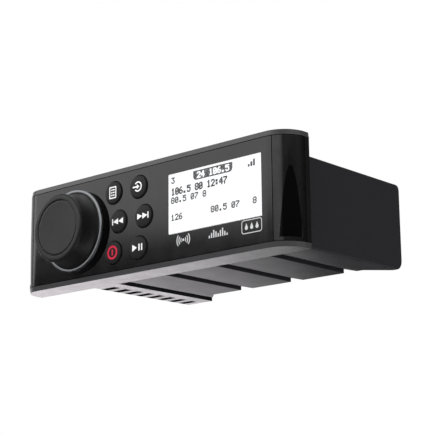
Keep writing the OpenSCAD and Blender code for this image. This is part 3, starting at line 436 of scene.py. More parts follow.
# Ways of making pieces
weld = {"solid": 0.002, "print": 0.001}  # points nearer than this become one, in millimetres
edgeStyle = {"steps": 2, "flatAngle": 1, "sharpAngle": 35}  # angles in degrees
cornerShare = 0.48  # the share of a side that a rounded corner may take
nearAxis = 1e-6  # a smaller radius is a point on the axis


def camelName(node):
    first, *others = node.split("_")
    return first + "".join(word.capitalize() for word in others)


def addPiece(name, mesh, material):
    mesh.materials.append(material)
    return addObject(name, mesh)


def addFinish(piece, material):
    # One more material on a piece; gives the index for the faces that wear it
    piece.data.materials.append(material)
    return len(piece.data.materials) - 1


def smoothMesh(bm, name):
    mesh = bpy.data.meshes.new(name)
    bm.to_mesh(mesh)
    bm.free()
    mesh.shade_smooth()
    return mesh


def meshFrom(bm, name, sharpAngle=38):
    bmesh.ops.recalc_face_normals(bm, faces=bm.faces)
    mesh = smoothMesh(bm, name)
    mesh.set_sharp_from_angle(angle=math.radians(sharpAngle))
    return mesh


def freeze(piece):
    # Turns what the modifiers make into a plain mesh
    graph = bpy.context.evaluated_depsgraph_get()
    mesh = bpy.data.meshes.new_from_object(
        piece.evaluated_get(graph), preserve_all_data_layers=True, depsgraph=graph)
    piece.modifiers.clear()
    piece.data = mesh


def standFor(piece, node):
    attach(piece, bodyOf[node])
    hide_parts(node)


def rideOn(piece, body):
    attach(piece, body)


def mergedCopy(node):
    source = frame["nodes"][node].data
    bm = bmesh.new()
    places = [bm.verts.new(v.co) for v in source.vertices]
    for polygon in source.polygons:
        corners = [places[i] for i in polygon.vertices]
        if len(set(corners)) > 2:
            bm.faces.new(corners)
    bmesh.ops.remove_doubles(bm, verts=bm.verts, dist=weld["solid"] * mm)
    return bm


def roundedCopy(node, name, edge):
    # Same form as the solid, with its sharp edges rounded as a mould or press leaves them
    bm = mergedCopy(node)
    flatAngle = math.radians(edgeStyle["flatAngle"])
    bmesh.ops.dissolve_limit(bm, angle_limit=flatAngle, verts=bm.verts, edges=bm.edges)
    piece = addPiece(name, smoothMesh(bm, name), finishes[slotOf[node]])
    bevel = piece.modifiers.new("edge", "BEVEL")
    bevel.width = edge * mm
    bevel.segments = edgeStyle["steps"]
    bevel.limit_method = "ANGLE"
    bevel.angle_limit = math.radians(edgeStyle["sharpAngle"])
    bevel.use_clamp_overlap = True
    normals = piece.modifiers.new("normals", "WEIGHTED_NORMAL")
    normals.keep_sharp = True
    freeze(piece)
    standFor(piece, node)
    return piece


def roundedProfile(points, radii, steps=4):
    # Rounds the corners of an open outline; a radius of 0 keeps a corner sharp
    result = [points[0]]
    for before, corner, after, radius in zip(points, points[1:], points[2:], radii[1:-1]):
        if not radius:
            result.append(corner)
            continue
        bend = Vector(corner)
        into, out = Vector(before) - bend, Vector(after) - bend
        reach = min(radius, cornerShare * into.length, cornerShare * out.length)
        start = bend + into.normalized() * reach
        end = bend + out.normalized() * reach
        for i in range(steps + 1):
            t = i / steps
            result.append(tuple(start * (1 - t) ** 2 + bend * 2 * t * (1 - t) + end * t * t))
    result.append(points[-1])
    return result


def skinRings(bm, rings, closed=False):
    # Walls from ring to ring; a ring may be one point, repeated
    for first, second in zip(rings, rings[1:] + (rings[:1] if closed else [])):
        for k in range(len(first)):
            after = (k + 1) % len(first)
            corners = (first[k], first[after], second[after], second[k])
            bm.faces.new(list(dict.fromkeys(corners)))


def closedMesh(bm, rings, name, sharpAngle):
    skinRings(bm, rings)
    bm.faces.new(rings[0])
    bm.faces.new(rings[-1])
    return meshFrom(bm, name, sharpAngle)


def arcPoints(centre, radius, start, end, steps=12):
    angles = [math.radians(start + (end - start) * i / steps) for i in range(steps + 1)]
    return [(centre[0] + radius * math.cos(a), centre[1] + radius * math.sin(a)) for a in angles]


def turnedPiece(name, profile, axis, segments, material, closed=False):
    # Turns (radius, y) points about an axis along Y; an outline starts and ends on the axis, or is closed
    bm = bmesh.new()
    rings = []
    for radius, y in profile:
        onAxis = radius < nearAxis
        circle = [axis] if onAxis else arcPoints(axis, radius, 0, 360, segments)[:-1]
        ring = [bm.verts.new((x * mm, y * mm, z * mm)) for x, z in circle]
        rings.append(ring * segments if onAxis else ring)
    skinRings(bm, rings, closed)
    return addPiece(name, meshFrom(bm, name), material)


def roundedRect(halfWidth, halfHeight, radius, steps=5):
    points = []
    for sideX, sideZ, start in ((1, 1, 0), (-1, 1, 90), (-1, -1, 180), (1, -1, 270)):
        centre = (sideX * (halfWidth - radius), sideZ * (halfHeight - radius))
        points += arcPoints(centre, radius, start, start + 90, steps)
    return points


def loftedPiece(name, centre, loops, material):
    # Closed plate through rounded rectangles of (half width, half height, corner radius, y)
    bm = bmesh.new()
    rings = []
    for *size, y in loops:
        outline = roundedRect(*size)
        rings.append([bm.verts.new(((centre[0] + u) * mm, y * mm, (centre[1] + v) * mm)) for u, v in outline])
    return addPiece(name, closedMesh(bm, rings, name, sharpAngle=30), material)


def printedPiece(name, shapes, centre, y, thickness, material):
    # Thin print on a face that looks to the front; a shape is one loop, or a pair of loops for a band
    bm = bmesh.new()

    def spot(point):
        return bm.verts.new(((centre[0] + point[0]) * mm, y * mm, (centre[1] + point[1]) * mm))

    for shape in shapes:
        if isinstance(shape, dict):
            inner = [spot(p) for p in shape["inner"]]
            outer = [spot(p) for p in shape["outer"]]
            count = len(inner)
            for k in range(count if shape["closed"] else count - 1):
                after = (k + 1) % count
                bm.faces.new((inner[k], inner[after], outer[after], outer[k]))
        else:
            bm.faces.new([spot(p) for p in shape])
    bmesh.ops.remove_doubles(bm, verts=bm.verts, dist=weld["print"] * mm)
    grown = bmesh.ops.extrude_face_region(bm, geom=bm.faces[:], use_keep_orig=True)
    raised = [item for item in grown["geom"] if isinstance(item, bmesh.types.BMVert)]
    bmesh.ops.translate(bm, verts=raised, vec=(0, -thickness * mm, 0))
    return addPiece(name, meshFrom(bm, name, sharpAngle=30), material)


def box2d(left, right, low, high):
    return [(left, low), (right, low), (right, high), (left, high)]


def rectBand(inner, outer):
    return {"inner": roundedRect(*inner), "outer": roundedRect(*outer), "closed": True}


def ringBand(inner, outer, centre=(0, 0), start=0, end=360, steps=40):
    closed = abs(end - start) >= 360
    loops = [arcPoints(centre, r, start, end, steps) for r in (inner, outer)]
    if closed:
        loops = [loop[:-1] for loop in loops]
    return {"inner": loops[0], "outer": loops[1], "closed": closed}


# Geometry Nodes: one stamp on many points, and the dots of the display
def newTree(name, inputs):
    tree = bpy.data.node_groups.new(name, "GeometryNodeTree")
    tree.interface.new_socket("Geometry", in_out="INPUT", socket_type="NodeSocketGeometry")
    for label, kind in inputs:
        tree.interface.new_socket(label, in_out="INPUT", socket_type=kind)
    tree.interface.new_socket("Geometry", in_out="OUTPUT", socket_type="NodeSocketGeometry")
    return tree, addNode(tree, "NodeGroupInput").outputs


def endTree(tree, source, place):
    realize = addNode(tree, "GeometryNodeRealizeInstances", {"Geometry": place})
    finished = addNode(tree, "GeometryNodeSetMaterial", {"Geometry": realize, "Material": source["Finish"]})
    addNode(tree, "NodeGroupOutput", {"Geometry": finished})
    return tree


def makeStampTree():
    tree, source = newTree("stampOnPoints", (
        ("Stamp", "NodeSocketObject"), ("Turn", "NodeSocketVector"), ("Finish", "NodeSocketMaterial")))
    stamp = addNode(tree, "GeometryNodeObjectInfo", {"Object": source["Stamp"], "As Instance": True})
    place = addNode(tree, "GeometryNodeInstanceOnPoints", {
        "Points": source["Geometry"], "Instance": stamp.outputs["Geometry"], "Rotation": source["Turn"]})
    return endTree(tree, source, place)


def makeDotTree():
    tree, source = newTree("dotMatrix", (
        ("Width", "NodeSocketFloat"), ("Depth", "NodeSocketFloat"), ("Height", "NodeSocketFloat"),
        ("Finish", "NodeSocketMaterial")))
    size = addNode(tree, "ShaderNodeCombineXYZ", {
        "X": source["Width"], "Y": source["Depth"], "Z": source["Height"]})
    dot = addNode(tree, "GeometryNodeMeshCube", {"Size": size})
    place = addNode(tree, "GeometryNodeInstanceOnPoints", {"Points": source["Geometry"], "Instance": dot})
    return endTree(tree, source, place)


stampTree = makeStampTree()
dotTree = makeDotTree()


def growFromPoints(name, points, tree, values):
    mesh = bpy.data.meshes.new(name)
    mesh.from_pydata([tuple(c * mm for c in p) for p in points], [], [])
    piece = addObject(name, mesh)
    grow = piece.modifiers.new("grow", "NODES")
    grow.node_group = tree
    for item in tree.interface.items_tree:
        if item.name in values:
            grow[item.identifier] = values[item.name]
    freeze(piece)
    return piece


def stampAt(name, points, stampMesh, material, turn=(0, 0, 0)):
    stamp = addObject("stamp", stampMesh)
    turnRadians = tuple(math.radians(a) for a in turn)
    piece = growFromPoints(name, points, stampTree, {"Stamp": stamp, "Turn": turnRadians, "Finish": material})
    bpy.data.objects.remove(stamp)
    return piece


def islandBoxes(node):
    # Boxes of a node's separate solids, in millimetres
    bm = mergedCopy(node)
    unseen = set(bm.verts)
    boxes = []
    while unseen:
        group, reached = set(), [unseen.pop()]
        while reached:
            vert = reached.pop()
            group.add(vert)
            for link in vert.link_edges:
                other = link.other_vert(vert)
                if other in unseen:
                    unseen.discard(other)
                    reached.append(other)
        spans = [[v.co[i] / mm for v in group] for i in range(3)]
        boxes.append(([min(s) for s in spans], [max(s) for s in spans]))
    bm.free()
    return boxes


# The outer pieces keep the solids' forms, with rounded edges; radii in millimetres
edgeRounds = {
    "fascia_bezel": 0.3,
    "front_panel": 0.08,
    "left_screw_cover": 0.1,
    "right_screw_cover": 0.1,
    "fascia_backplate": 0.15,
    "mounting_gasket": 0.25,
    "chassis_tub": 0.12,
    "top_cover": 0.4,
    "heat_sink": 0.12,
    "rear_panel": 0.25,
    "harness_socket": 0.3,
    "line_out_socket": 0.3,
    "network_socket": 0.25,
    "aerial_socket": 0.25,
    "tuner_port": 0.25,
}
dressed = {node: roundedCopy(node, camelName(node), edge) for node, edge in edgeRounds.items()}

# The fascia's upright faces above and below the panel get a paler satin skin than the rest of it; the paler
# colour is painted light, standing in for the light those faces catch
paintedLip = {"upright": 0.7, "forward": 0.1, "colour": (0.06, 0.06, 0.062), "gloss": (0.18, 0.25)}
lipStart = spanOf("front_panel")[1].z * mm
paintedLipIndex = addFinish(dressed["fascia_bezel"], coated("lipLightPaint", plastic, paintedLip["colour"], paintedLip["gloss"]))
for face in dressed["fascia_bezel"].data.polygons:
    beyond = abs(face.center.z) > lipStart
    if beyond and abs(face.normal.z) < paintedLip["upright"] and face.normal.y < paintedLip["forward"]:
        face.material_index = paintedLipIndex

# The finger scoops in the end covers are dull black, painted shade standing in for the shade inside them:
# they lie inside the cover's rounded corner
scoopShade = {
    "cornerRadius": 12.75, "depth": 0.06, "facing": 0.3, "top": 9.6,
    "colour": (0.0015, 0.0015, 0.0016), "gloss": (0.6, 0.7), "specular": 0.06,
}
scoopShadePaint = coated(
    "scoopShadePaint", plastic, scoopShade["colour"], scoopShade["gloss"], specular=scoopShade["specular"])
for coverNode, side in (("left_screw_cover", -1), ("right_screw_cover", 1)):
    scoopShadeIndex = addFinish(dressed[coverNode], scoopShadePaint)
    coverLow, coverHigh = spanOf(coverNode)
    cornerX = side * (max(abs(coverLow.x), abs(coverHigh.x)) - scoopShade["cornerRadius"])
    cornerY = coverLow.y + scoopShade["cornerRadius"]
    for face in dressed[coverNode].data.polygons:
        across = Vector((face.center.x / mm - cornerX, face.center.y / mm - cornerY, 0))
        inside = across.length < scoopShade["cornerRadius"] - scoopShade["depth"]
        outward = face.normal.dot(across.normalized()) > scoopShade["facing"]
        if inside and outward and face.center.z / mm < scoopShade["top"]:
            face.material_index = scoopShadeIndex
print("stage: fascia and chassis dressed")


# Volume knob: turned from its outline, heights measured from the front panel
def heightsOf(node):
    low, high = spanOf(node)
    return frontFace - low.y, frontFace - high.y


knob = {
    "neckRadius": 16.6, "rimRound": 2.4, "rimSteps": 8, "gripLength": 2.6, "flankSteps": 24, "wall": 2.0,
    "capGap": 0.15, "capDish": 0.2, "capSteps": 12, "capRound": 0.6, "capFootRound": 0.1, "seatRound": 0.5,
    "ringWidth": 1.4, "ringRound": 0.45, "ringEdgeRound": 0.15, "skirtStep": 0.2, "skirtWall": 1.7,
    "skirtRoof": 0.67, "hollowFoot": 2.0, "bossRadius": 5.2, "bossFoot": 3.7, "shaftRadius": 3.0,
    "shaftCover": 1.4, "segments": 192, "capSegments": 160,
}
knob["faceHeight"], knob["skirtLift"] = heightsOf("volume_knob")
knob["capTop"], knob["capFloor"] = heightsOf("knob_cap")
knob["ringTop"], knob["ringFoot"] = heightsOf("knob_ring")
knob["capRadius"] = radiusOf("knob_cap") + knob["capGap"]
knob["ringOuter"] = radiusOf("knob_ring")
knob["ringInner"] = knob["ringOuter"] - knob["ringWidth"]
knob["shaftTop"] = knob["capFloor"] - knob["shaftCover"]
knob["hollowTop"] = knob["shaftTop"] - knob["wall"]
knob["hollowRadius"] = knob["neckRadius"] - knob["wall"]
knob["skirtRadius"] = knob["ringOuter"] - knob["skirtStep"]
knob["skirtInner"] = knob["skirtRadius"] - knob["skirtWall"]


def knobY(height):
    return frontFace - height


def knobOutline(k):
    spread = k["ringInner"] - k["neckRadius"]
    top = k["faceHeight"] - k["gripLength"]
    drop = top - k["ringTop"]
    arc = arcPoints((0, 0), 1, 0, 90, k["flankSteps"])
    flank = [(k["ringInner"] - spread * u, knobY(top - drop * v)) for u, v in arc]
    rim = roundedProfile(
        [(k["capRadius"], knobY(k["capFloor"])), (k["capRadius"], knobY(k["faceHeight"])),
         (k["neckRadius"], knobY(k["faceHeight"])), flank[0]],
        [0, k["seatRound"], k["rimRound"], 0], k["rimSteps"])
    inside = [
        (k["ringInner"], k["ringFoot"]), (k["skirtRadius"], k["ringFoot"]),
        (k["skirtRadius"], k["skirtLift"]), (k["skirtInner"], k["skirtLift"]),
        (k["skirtInner"], k["ringFoot"] - k["skirtRoof"]),
        (k["hollowRadius"], k["ringTop"] + k["hollowFoot"]),
        (k["hollowRadius"], k["hollowTop"]), (k["bossRadius"], k["hollowTop"]),
        (k["bossRadius"], k["bossFoot"]), (k["shaftRadius"], k["bossFoot"]),
        (k["shaftRadius"], k["shaftTop"]), (0, k["shaftTop"]),
    ]
    inside = [(radius, knobY(height)) for radius, height in inside]
    return [(0, knobY(k["capFloor"]))] + rim + flank[1:] + inside


def capOutline(k):
    radius = k["capRadius"] - k["capGap"]
    top, floor = knobY(k["capTop"]), knobY(k["capFloor"])
    face = []
    for i in range(k["capSteps"]):
        share = i / k["capSteps"]
        face.append((radius * share, top + k["capDish"] * (1 - share ** 2)))
    corners = [face[-1], (radius, top), (radius, floor), (0, floor)]
    return face + roundedProfile(corners, [0, k["capRound"], k["capFootRound"], 0])[1:]


def ringOutline(k):
    top, foot = knobY(k["ringTop"]), knobY(k["ringFoot"])
    corners = [
        (k["ringInner"], foot), (k["ringInner"], top), (k["ringOuter"], top), (k["ringOuter"], foot),
        (k["ringInner"], foot),
    ]
    return roundedProfile(corners, [0, k["ringEdgeRound"], k["ringRound"], k["ringEdgeRound"], 0])[:-1]


# Painted shade: the knob's side and concave flank wear a darker copy of its rubber, and the skirt under the
# ring a near-black dull copy, standing in for the shade that falls there
flankShadeRubber = coated("flankShadeRubber", rubber, (0.006, 0.006, 0.0063), (0.36, 0.44), specular=0.4)
skirtShadeRubber = coated("skirtShadeRubber", rubber, (0.002, 0.002, 0.002), (0.6, 0.75), specular=0.05)
knobTurns, knobFinish = knob["segments"], finishes["knob_rubber"]
knobPieces = {
    "volume_knob": turnedPiece("volumeKnob", knobOutline(knob), knobAxis, knobTurns, knobFinish),
    "knob_cap": turnedPiece("knobCap", capOutline(knob), knobAxis, knob["capSegments"], knobFinish),
    "knob_ring": turnedPiece(
        "knobRing", ringOutline(knob), knobAxis, knobTurns, finishes["bright_ring"], closed=True),
}
flankShadeIndex = addFinish(knobPieces["volume_knob"], flankShadeRubber)
skirtShadeIndex = addFinish(knobPieces["volume_knob"], skirtShadeRubber)
# Faces out past the ring's bore wear the painted-shade skirt rubber, faces on the side and flank the darker
# flank rubber
for face in knobPieces["volume_knob"].data.polygons:
    fromAxis = math.hypot(face.center.x / mm - knobAxis[0], face.center.z / mm - knobAxis[1])
    if fromAxis > knob["ringInner"]:
        face.material_index = skirtShadeIndex
    elif fromAxis > knob["neckRadius"] - knob["capGap"]:
        face.material_index = flankShadeIndex
for knobNode, knobPiece in knobPieces.items():
    standFor(knobPiece, knobNode)
    knobPiece.visible_glossy = False  # the panel is too dull to mirror the knob

# Painted shadow: a dull black disc on the panel under the knob's skirt, standing in for the shade in the gap
# beneath it
shadeDisc = {"thickness": 0.45, "bore": 6.0, "segments": 144}
shadeDiscOutline = box2d(shadeDisc["bore"], knob["skirtRadius"], frontFace, knobY(shadeDisc["thickness"]))
shadeDiscPiece = turnedPiece("knobSeat", shadeDiscOutline, knobAxis, shadeDisc["segments"], skirtShadeRubber, closed=True)
rideOn(shadeDiscPiece, "chassis")
print("stage: knob turned")


# Push buttons with printed symbols
button = {
    "flange": 1.35, "flangeThickness": 1.1, "edgeRound": 0.55, "edgeSteps": 6, "dome": 0.1, "segments": 96,
    "inkThickness": 0.04,
}
button["crown"], button["flangeRear"] = (corner.y for corner in spanOf("menu_button"))
button["flangeFront"] = button["flangeRear"] - button["flangeThickness"]
button["flangeRadius"] = radiusOf("menu_button")
button["radius"] = button["flangeRadius"] - button["flange"]


def buttonOutline(b):
    face = roundedProfile(
        [(0, b["crown"]), (b["radius"], b["crown"] + b["dome"]), (b["radius"], b["flangeFront"])],
        [0, b["edgeRound"], 0], b["edgeSteps"])
    return face + [(b["flangeRadius"], b["flangeFront"]), (b["flangeRadius"], b["flangeRear"]),
                   (0, b["flangeRear"])]


# Symbols in millimetres from the button's middle; boxes are (left, right, low, high)
skip = {"bar": (3.0, 3.65, -1.5, 1.5), "headLefts": (-3.65, -0.3), "headLength": 3.2, "headHalf": 1.45}
page = {
    "inner": (1.75, 2.35, 0.15), "outer": (2.35, 2.95, 0.45), "rows": (1.3, 0, -1.3),
    "bullet": (-1.25, -0.65), "bulletHalf": 0.33, "line": (-0.3, 1.3), "lineHalf": 0.29,
}
inlet = {
    "inner": 1.85, "outer": 2.5, "centre": (0.1, 0), "reach": 140,
    "tail": -3.3, "tailHalf": 0.36, "head": -0.6, "headHalf": 1.2, "tip": 1.1,
}
play = {"left": -3.4, "tip": -0.4, "half": 1.65, "barLefts": (0.6, 2.3), "barWidth": 0.75, "barHalf": 1.6}
power = {"inner": 2.35, "outer": 3.35, "bar": (-0.42, 0.42, -1.35, 1.35)}


def arrowHead(left, tip, half):
    return [(left, -half), (tip, 0), (left, half)]


def skipSymbol(side):
    # Two arrow heads and a bar; side is +1 to point right
    heads = [arrowHead(left, left + skip["headLength"], skip["headHalf"]) for left in skip["headLefts"]]
    return [[(side * u, v) for u, v in shape] for shape in [box2d(*skip["bar"])] + heads]


def pageSymbol():
    rows = []
    for v in page["rows"]:
        rows.append(box2d(*page["bullet"], v - page["bulletHalf"], v + page["bulletHalf"]))
        rows.append(box2d(*page["line"], v - page["lineHalf"], v + page["lineHalf"]))
    return [rectBand(page["inner"], page["outer"])] + rows


def inputSymbol():
    tail, half, head = inlet["tail"], inlet["tailHalf"], inlet["head"]
    point = arrowHead(head, inlet["tip"], inlet["headHalf"])
    arrow = [(tail, -half), (head, -half)] + point + [(head, half), (tail, half)]
    ring = ringBand(inlet["inner"], inlet["outer"], inlet["centre"], -inlet["reach"], inlet["reach"])
    return [ring, arrow]


def playPauseSymbol():
    width, half = play["barWidth"], play["barHalf"]
    bars = [box2d(left, left + width, -half, half) for left in play["barLefts"]]
    return [arrowHead(play["left"], play["tip"], play["half"])] + bars


symbols = {
    "menu": (pageSymbol(), whiteInk),
    "source": (inputSymbol(), whiteInk),
    "previous": (skipSymbol(-1), whiteInk),
    "next": (skipSymbol(1), whiteInk),
    "power": ([ringBand(power["inner"], power["outer"]), box2d(*power["bar"])], redInk),
    "play_pause": (playPauseSymbol(), whiteInk),
}
for buttonName, buttonPlace in buttonPlaces.items():
    label = camelName(buttonName)
    buttonPiece = turnedPiece(
        label + "Button", buttonOutline(button), buttonPlace, button["segments"], finishes["button_rubber"])
    standFor(buttonPiece, buttonName + "_button")
    shapes, ink = symbols[buttonName]
    symbolPiece = printedPiece(
        label + "Symbol", shapes, buttonPlace, button["crown"], button["inkThickness"], ink)
    symbolPiece.visible_glossy = False  # as for the knob
    rideOn(symbolPiece, buttonName)
print("stage: buttons and symbols made")


# Display: clear lens with a pocket, lit picture in the pocket, dark dots on the picture
lens = {
    "front": lensLow.y, "rear": lensHigh.y, "flangeThickness": 0.8, "cover": 0.4, "pocketWall": 0.22,
    "fit": 0.03, "chamfer": 0.05, "corner": 0.3, "flangeCorner": 0.5, "pocketCorner": 0.25,
}
lens["flangeFront"] = lens["rear"] - lens["flangeThickness"]
lcd = {
    "rear": spanOf("lcd_glass")[1].y, "gap": 0.03, "wall": 0.06, "flangeGap": 0.05, "corner": 0.2,
    "flangeCorner": 0.4,
}


def displayPlate(name, node, loops):
    # Loops of (growth beyond the window, corner radius, y)
    sized = [(displayHalf[0] + grow, displayHalf[1] + grow, radius, y) for grow, radius, y in loops]
    standFor(loftedPiece(name, displayCentre, sized, finishes[slotOf[node]]), node)


pocketY = lens["front"] + lens["cover"]
pocketGrow = -lens["fit"] - lens["pocketWall"]
displayPlate("displayLens", "display_lens", [
    (-lens["fit"] - lens["chamfer"], lens["corner"], lens["front"]),
    (-lens["fit"], lens["corner"], lens["front"] + lens["chamfer"]),
    (-lens["fit"], lens["corner"], lens["flangeFront"]),
    (lensFlange, lens["flangeCorner"], lens["flangeFront"]),
    (lensFlange, lens["flangeCorner"], lens["rear"]),
    (pocketGrow, lens["pocketCorner"], lens["rear"]),
    (pocketGrow, lens["pocketCorner"], pocketY),
])
pictureY = pocketY + lcd["gap"]
pictureGrow = pocketGrow - lcd["wall"]
pictureFlange = lens["rear"] + lcd["flangeGap"]
displayPlate("lcdPicture", "lcd_glass", [
    (pictureGrow, lcd["corner"], pictureY),
    (pictureGrow, lcd["corner"], pictureFlange),
    (lensFlange, lcd["flangeCorner"], pictureFlange),
    (lensFlange, lcd["flangeCorner"], lcd["rear"]),
])

# Characters as rows of bits, each number a row from the top; columns and advance count dots
glyph = {"columns": 5, "advance": 6}
characters = {
    "0": (14, 17, 19, 21, 25, 17, 14),
    "1": (4, 12, 4, 4, 4, 4, 14),
    "2": (14, 17, 1, 2, 4, 8, 31),
    "3": (31, 2, 4, 2, 1, 17, 14),
    "4": (2, 6, 10, 18, 31, 2, 2),
    "5": (31, 16, 30, 1, 1, 17, 14),
    "6": (6, 8, 16, 30, 17, 17, 14),
    "7": (31, 1, 2, 4, 8, 8, 8),
    "8": (14, 17, 17, 14, 17, 17, 14),
    ":": (0, 12, 12, 0, 12, 12, 0),
    ".": (0, 0, 0, 0, 0, 12, 12),
    " ": (0, 0, 0, 0, 0, 0, 0),
}
# Left and top are shares of the display's width and height
lcdLines = {
    "preset": {"text": "3", "left": 0.03, "top": 0.06},
    "station": {"text": "106.5 80 12:47", "left": 0.03, "top": 0.243, "tall": 8 / 7, "bold": 1.3},
    "track": {"text": "80.5 07 8", "left": 0.026, "top": 0.395},
    "band": {"text": "126", "left": 0.026, "top": 0.68},
    "channel": {"text": "80.5 07   8", "left": 0.465, "top": 0.68},
}
lcdTab = {
    "left": 0.275, "right": 0.7, "top": 0.035, "bottom": 0.19, "round": 1.9,
    "text": "24 106.5", "textLeft": 0.318, "textTop": 0.062, "bold": 1.25,
}
lcdBars = {"left": 0.86, "bottom": 0.18, "step": 0.027, "width": 0.02, "heights": (0.04, 0.075, 0.11)}


def displayPoint(across, down):
    return ((2 * across - 1) * displayHalf[0], (1 - 2 * down) * displayHalf[1])


def dotPoints(text, left, top, tall=1.0):
    pitch = lcdText["dotPitch"]
    startU, startV = displayPoint(left, top)
    points = []
    for place, letter in enumerate(text):
        for row, bits in enumerate(characters[letter]):
            for column in range(glyph["columns"]):
                if bits >> (glyph["columns"] - 1 - column) & 1:
                    u = startU + (glyph["advance"] * place + column + 0.5) * pitch
                    v = startV - (row + 0.5) * pitch * tall
                    points.append((u, v))
    return points


def dotPiece(name, points, material, wide=1.0, tall=1.0, layer=0):
    y = pictureY - (layer + 0.5) * lcdText["thickness"]
    places = [(displayCentre[0] + u, y, displayCentre[1] + v) for u, v in points]
    size = lcdText["dotSize"] * mm
    piece = growFromPoints(name, places, dotTree, {
        "Width": size * wide, "Depth": lcdText["thickness"] * mm, "Height": size * tall, "Finish": material})
    rideOn(piece, "chassis")


for lineName, line in lcdLines.items():
    tall = line.get("tall", 1.0)
    linePoints = dotPoints(line["text"], line["left"], line["top"], tall)
    dotPiece("lcdDots." + lineName, linePoints, lcdBlack, line.get("bold", 1.0), tall)

tabLeft, tabTop = displayPoint(lcdTab["left"], lcdTab["top"])
tabRight, tabBottom = displayPoint(lcdTab["right"], lcdTab["bottom"])
tabRound = lcdTab["round"]
tabShape = [(tabRight, tabTop), (tabLeft, tabTop)]
tabShape += arcPoints((tabLeft + tabRound, tabBottom + tabRound), tabRound, 180, 270)
tabShape += arcPoints((tabRight - tabRound, tabBottom + tabRound), tabRound, 270, 360)
barShapes = []
for barIndex, barHeight in enumerate(lcdBars["heights"]):
    barLeft = lcdBars["left"] + barIndex * lcdBars["step"]
    low = displayPoint(barLeft, lcdBars["bottom"])
    high = displayPoint(barLeft + lcdBars["width"], lcdBars["bottom"] - barHeight)
    barShapes.append(box2d(low[0], high[0], low[1], high[1]))
tabPiece = printedPiece(
    "lcdTab", [tabShape] + barShapes, displayCentre, pictureY, lcdText["thickness"], lcdBlack)
rideOn(tabPiece, "chassis")
tabPoints = dotPoints(lcdTab["text"], lcdTab["textLeft"], lcdTab["textTop"])
dotPiece("lcdDots.tab", tabPoints, finishes["lcd_glass"], lcdTab["bold"], layer=1)
print("stage: display lit")


# Plain symbols printed under the display, in millimetres; x is measured from the display's middle
panelPrint = {"z": -15.1, "thickness": 0.02}
airwave = {
    "x": -18.4, "dotBore": 0.01, "dot": 0.6, "dotSteps": 16, "radii": (1.5, 2.7, 3.9), "half": 0.25,
    "reach": 38, "steps": 10,
}
levels = {
    "x": 2.6, "heights": (1.2, 2.2, 3.4, 2.6, 1.6, 2.8, 3.6, 2.0, 1.0), "left": -5.6, "step": 1.3,
    "width": 0.7, "foot": -1.8,
}
drops = {
    "x": 21.8, "inner": (5.4, 2.7, 0.9), "outer": (5.75, 3.05, 1.2), "places": (-3.0, 0.0, 3.0),
    "radius": 0.85, "middle": -0.5, "tip": 1.6, "arc": (-205, 25), "steps": 14,
}


def airwaveSymbol(a):
    waves = [ringBand(a["dotBore"], a["dot"], steps=a["dotSteps"])]
    half, reach = a["half"], a["reach"]
    for side in (0, 180):
        for radius in a["radii"]:
            band = (radius - half, radius + half)
            waves.append(ringBand(*band, (0, 0), side - reach, side + reach, a["steps"]))
    return waves


def levelSymbol(b):
    bars = []
    for i, height in enumerate(b["heights"]):
        left = b["step"] * i + b["left"]
        bars.append(box2d(left, left + b["width"], b["foot"], b["foot"] + height))
    return bars


def dropSymbol(d):
    shapes = [rectBand(d["inner"], d["outer"])]
    for u in d["places"]:
        shapes.append(arcPoints((u, d["middle"]), d["radius"], *d["arc"], d["steps"]) + [(u, d["tip"])])
    return shapes


for markName, symbol, shapesOf in (
    ("airwaveMark", airwave, airwaveSymbol),
    ("levelMark", levels, levelSymbol),
    ("dropMark", drops, dropSymbol),
):
    markPlace = (displayCentre[0] + symbol["x"], panelPrint["z"])
    mark = printedPiece(markName, shapesOf(symbol), markPlace, frontFace, panelPrint["thickness"], greyInk)
    rideOn(mark, "chassis")
print("stage: panel printed")


# Screws: countersunk heads with a cross recess
screw = {
    "headRadius": 2.4, "headHeight": 1.2, "rimInset": 0.12, "rimDrop": 0.1, "shankRadius": 1.25,
    "length": 6.5, "slotReach": 1.35, "slotWidth": 0.42, "slotDepth": 0.9, "slotTaper": 0.7,
    "segments": 48, "sink": 0.02,
}
# The axis that a set's heads look along, and the turn that brings a head there, in degrees
screwSets = {
    "cover_screws": {"axis": 2, "turn": (0, 0, 20)},
    "rear_panel_screws": {"axis": 1, "turn": (-90, 15, 0)},
    "fascia_screws": {"axis": 1, "turn": (-90, 40, 0)},
}


def screwMesh(s):
    # Head face at the origin, shank towards -Z
    bm = bmesh.new()
    cross = []
    reach, half, taper = s["slotReach"], s["slotWidth"] / 2, s["slotTaper"]
    for turn in range(4):
        a = math.radians(90 * turn)
        for u, v in ((reach, -half), (reach, half), (half, half)):
            cross.append((u * math.cos(a) - v * math.sin(a), u * math.sin(a) + v * math.cos(a)))

    def ring(radius, z):
        circle = arcPoints((0, 0), radius, 0, 360, s["segments"])[:-1]
        return [bm.verts.new((u * mm, v * mm, z * mm)) for u, v in circle]

    def loopEdges(loop):
        return [bm.edges.new((loop[k], loop[(k + 1) % len(loop)])) for k in range(len(loop))]

    rim = ring(s["headRadius"] - s["rimInset"], 0)
    slotTop = [bm.verts.new((u * mm, v * mm, 0)) for u, v in cross]
    bmesh.ops.triangle_fill(bm, edges=loopEdges(rim) + loopEdges(slotTop), use_beauty=True)
    slotFoot = [bm.verts.new((u * taper * mm, v * taper * mm, -s["slotDepth"] * mm)) for u, v in cross]
    skinRings(bm, [slotTop, slotFoot])
    bm.faces.new(slotFoot)
    rings = [rim, ring(s["headRadius"], -s["rimDrop"])]
    rings += [ring(s["shankRadius"], -depth) for depth in (s["headHeight"], s["length"])]
    skinRings(bm, rings)
    bm.faces.new(rings[-1])
    return meshFrom(bm, "screw", sharpAngle=35)


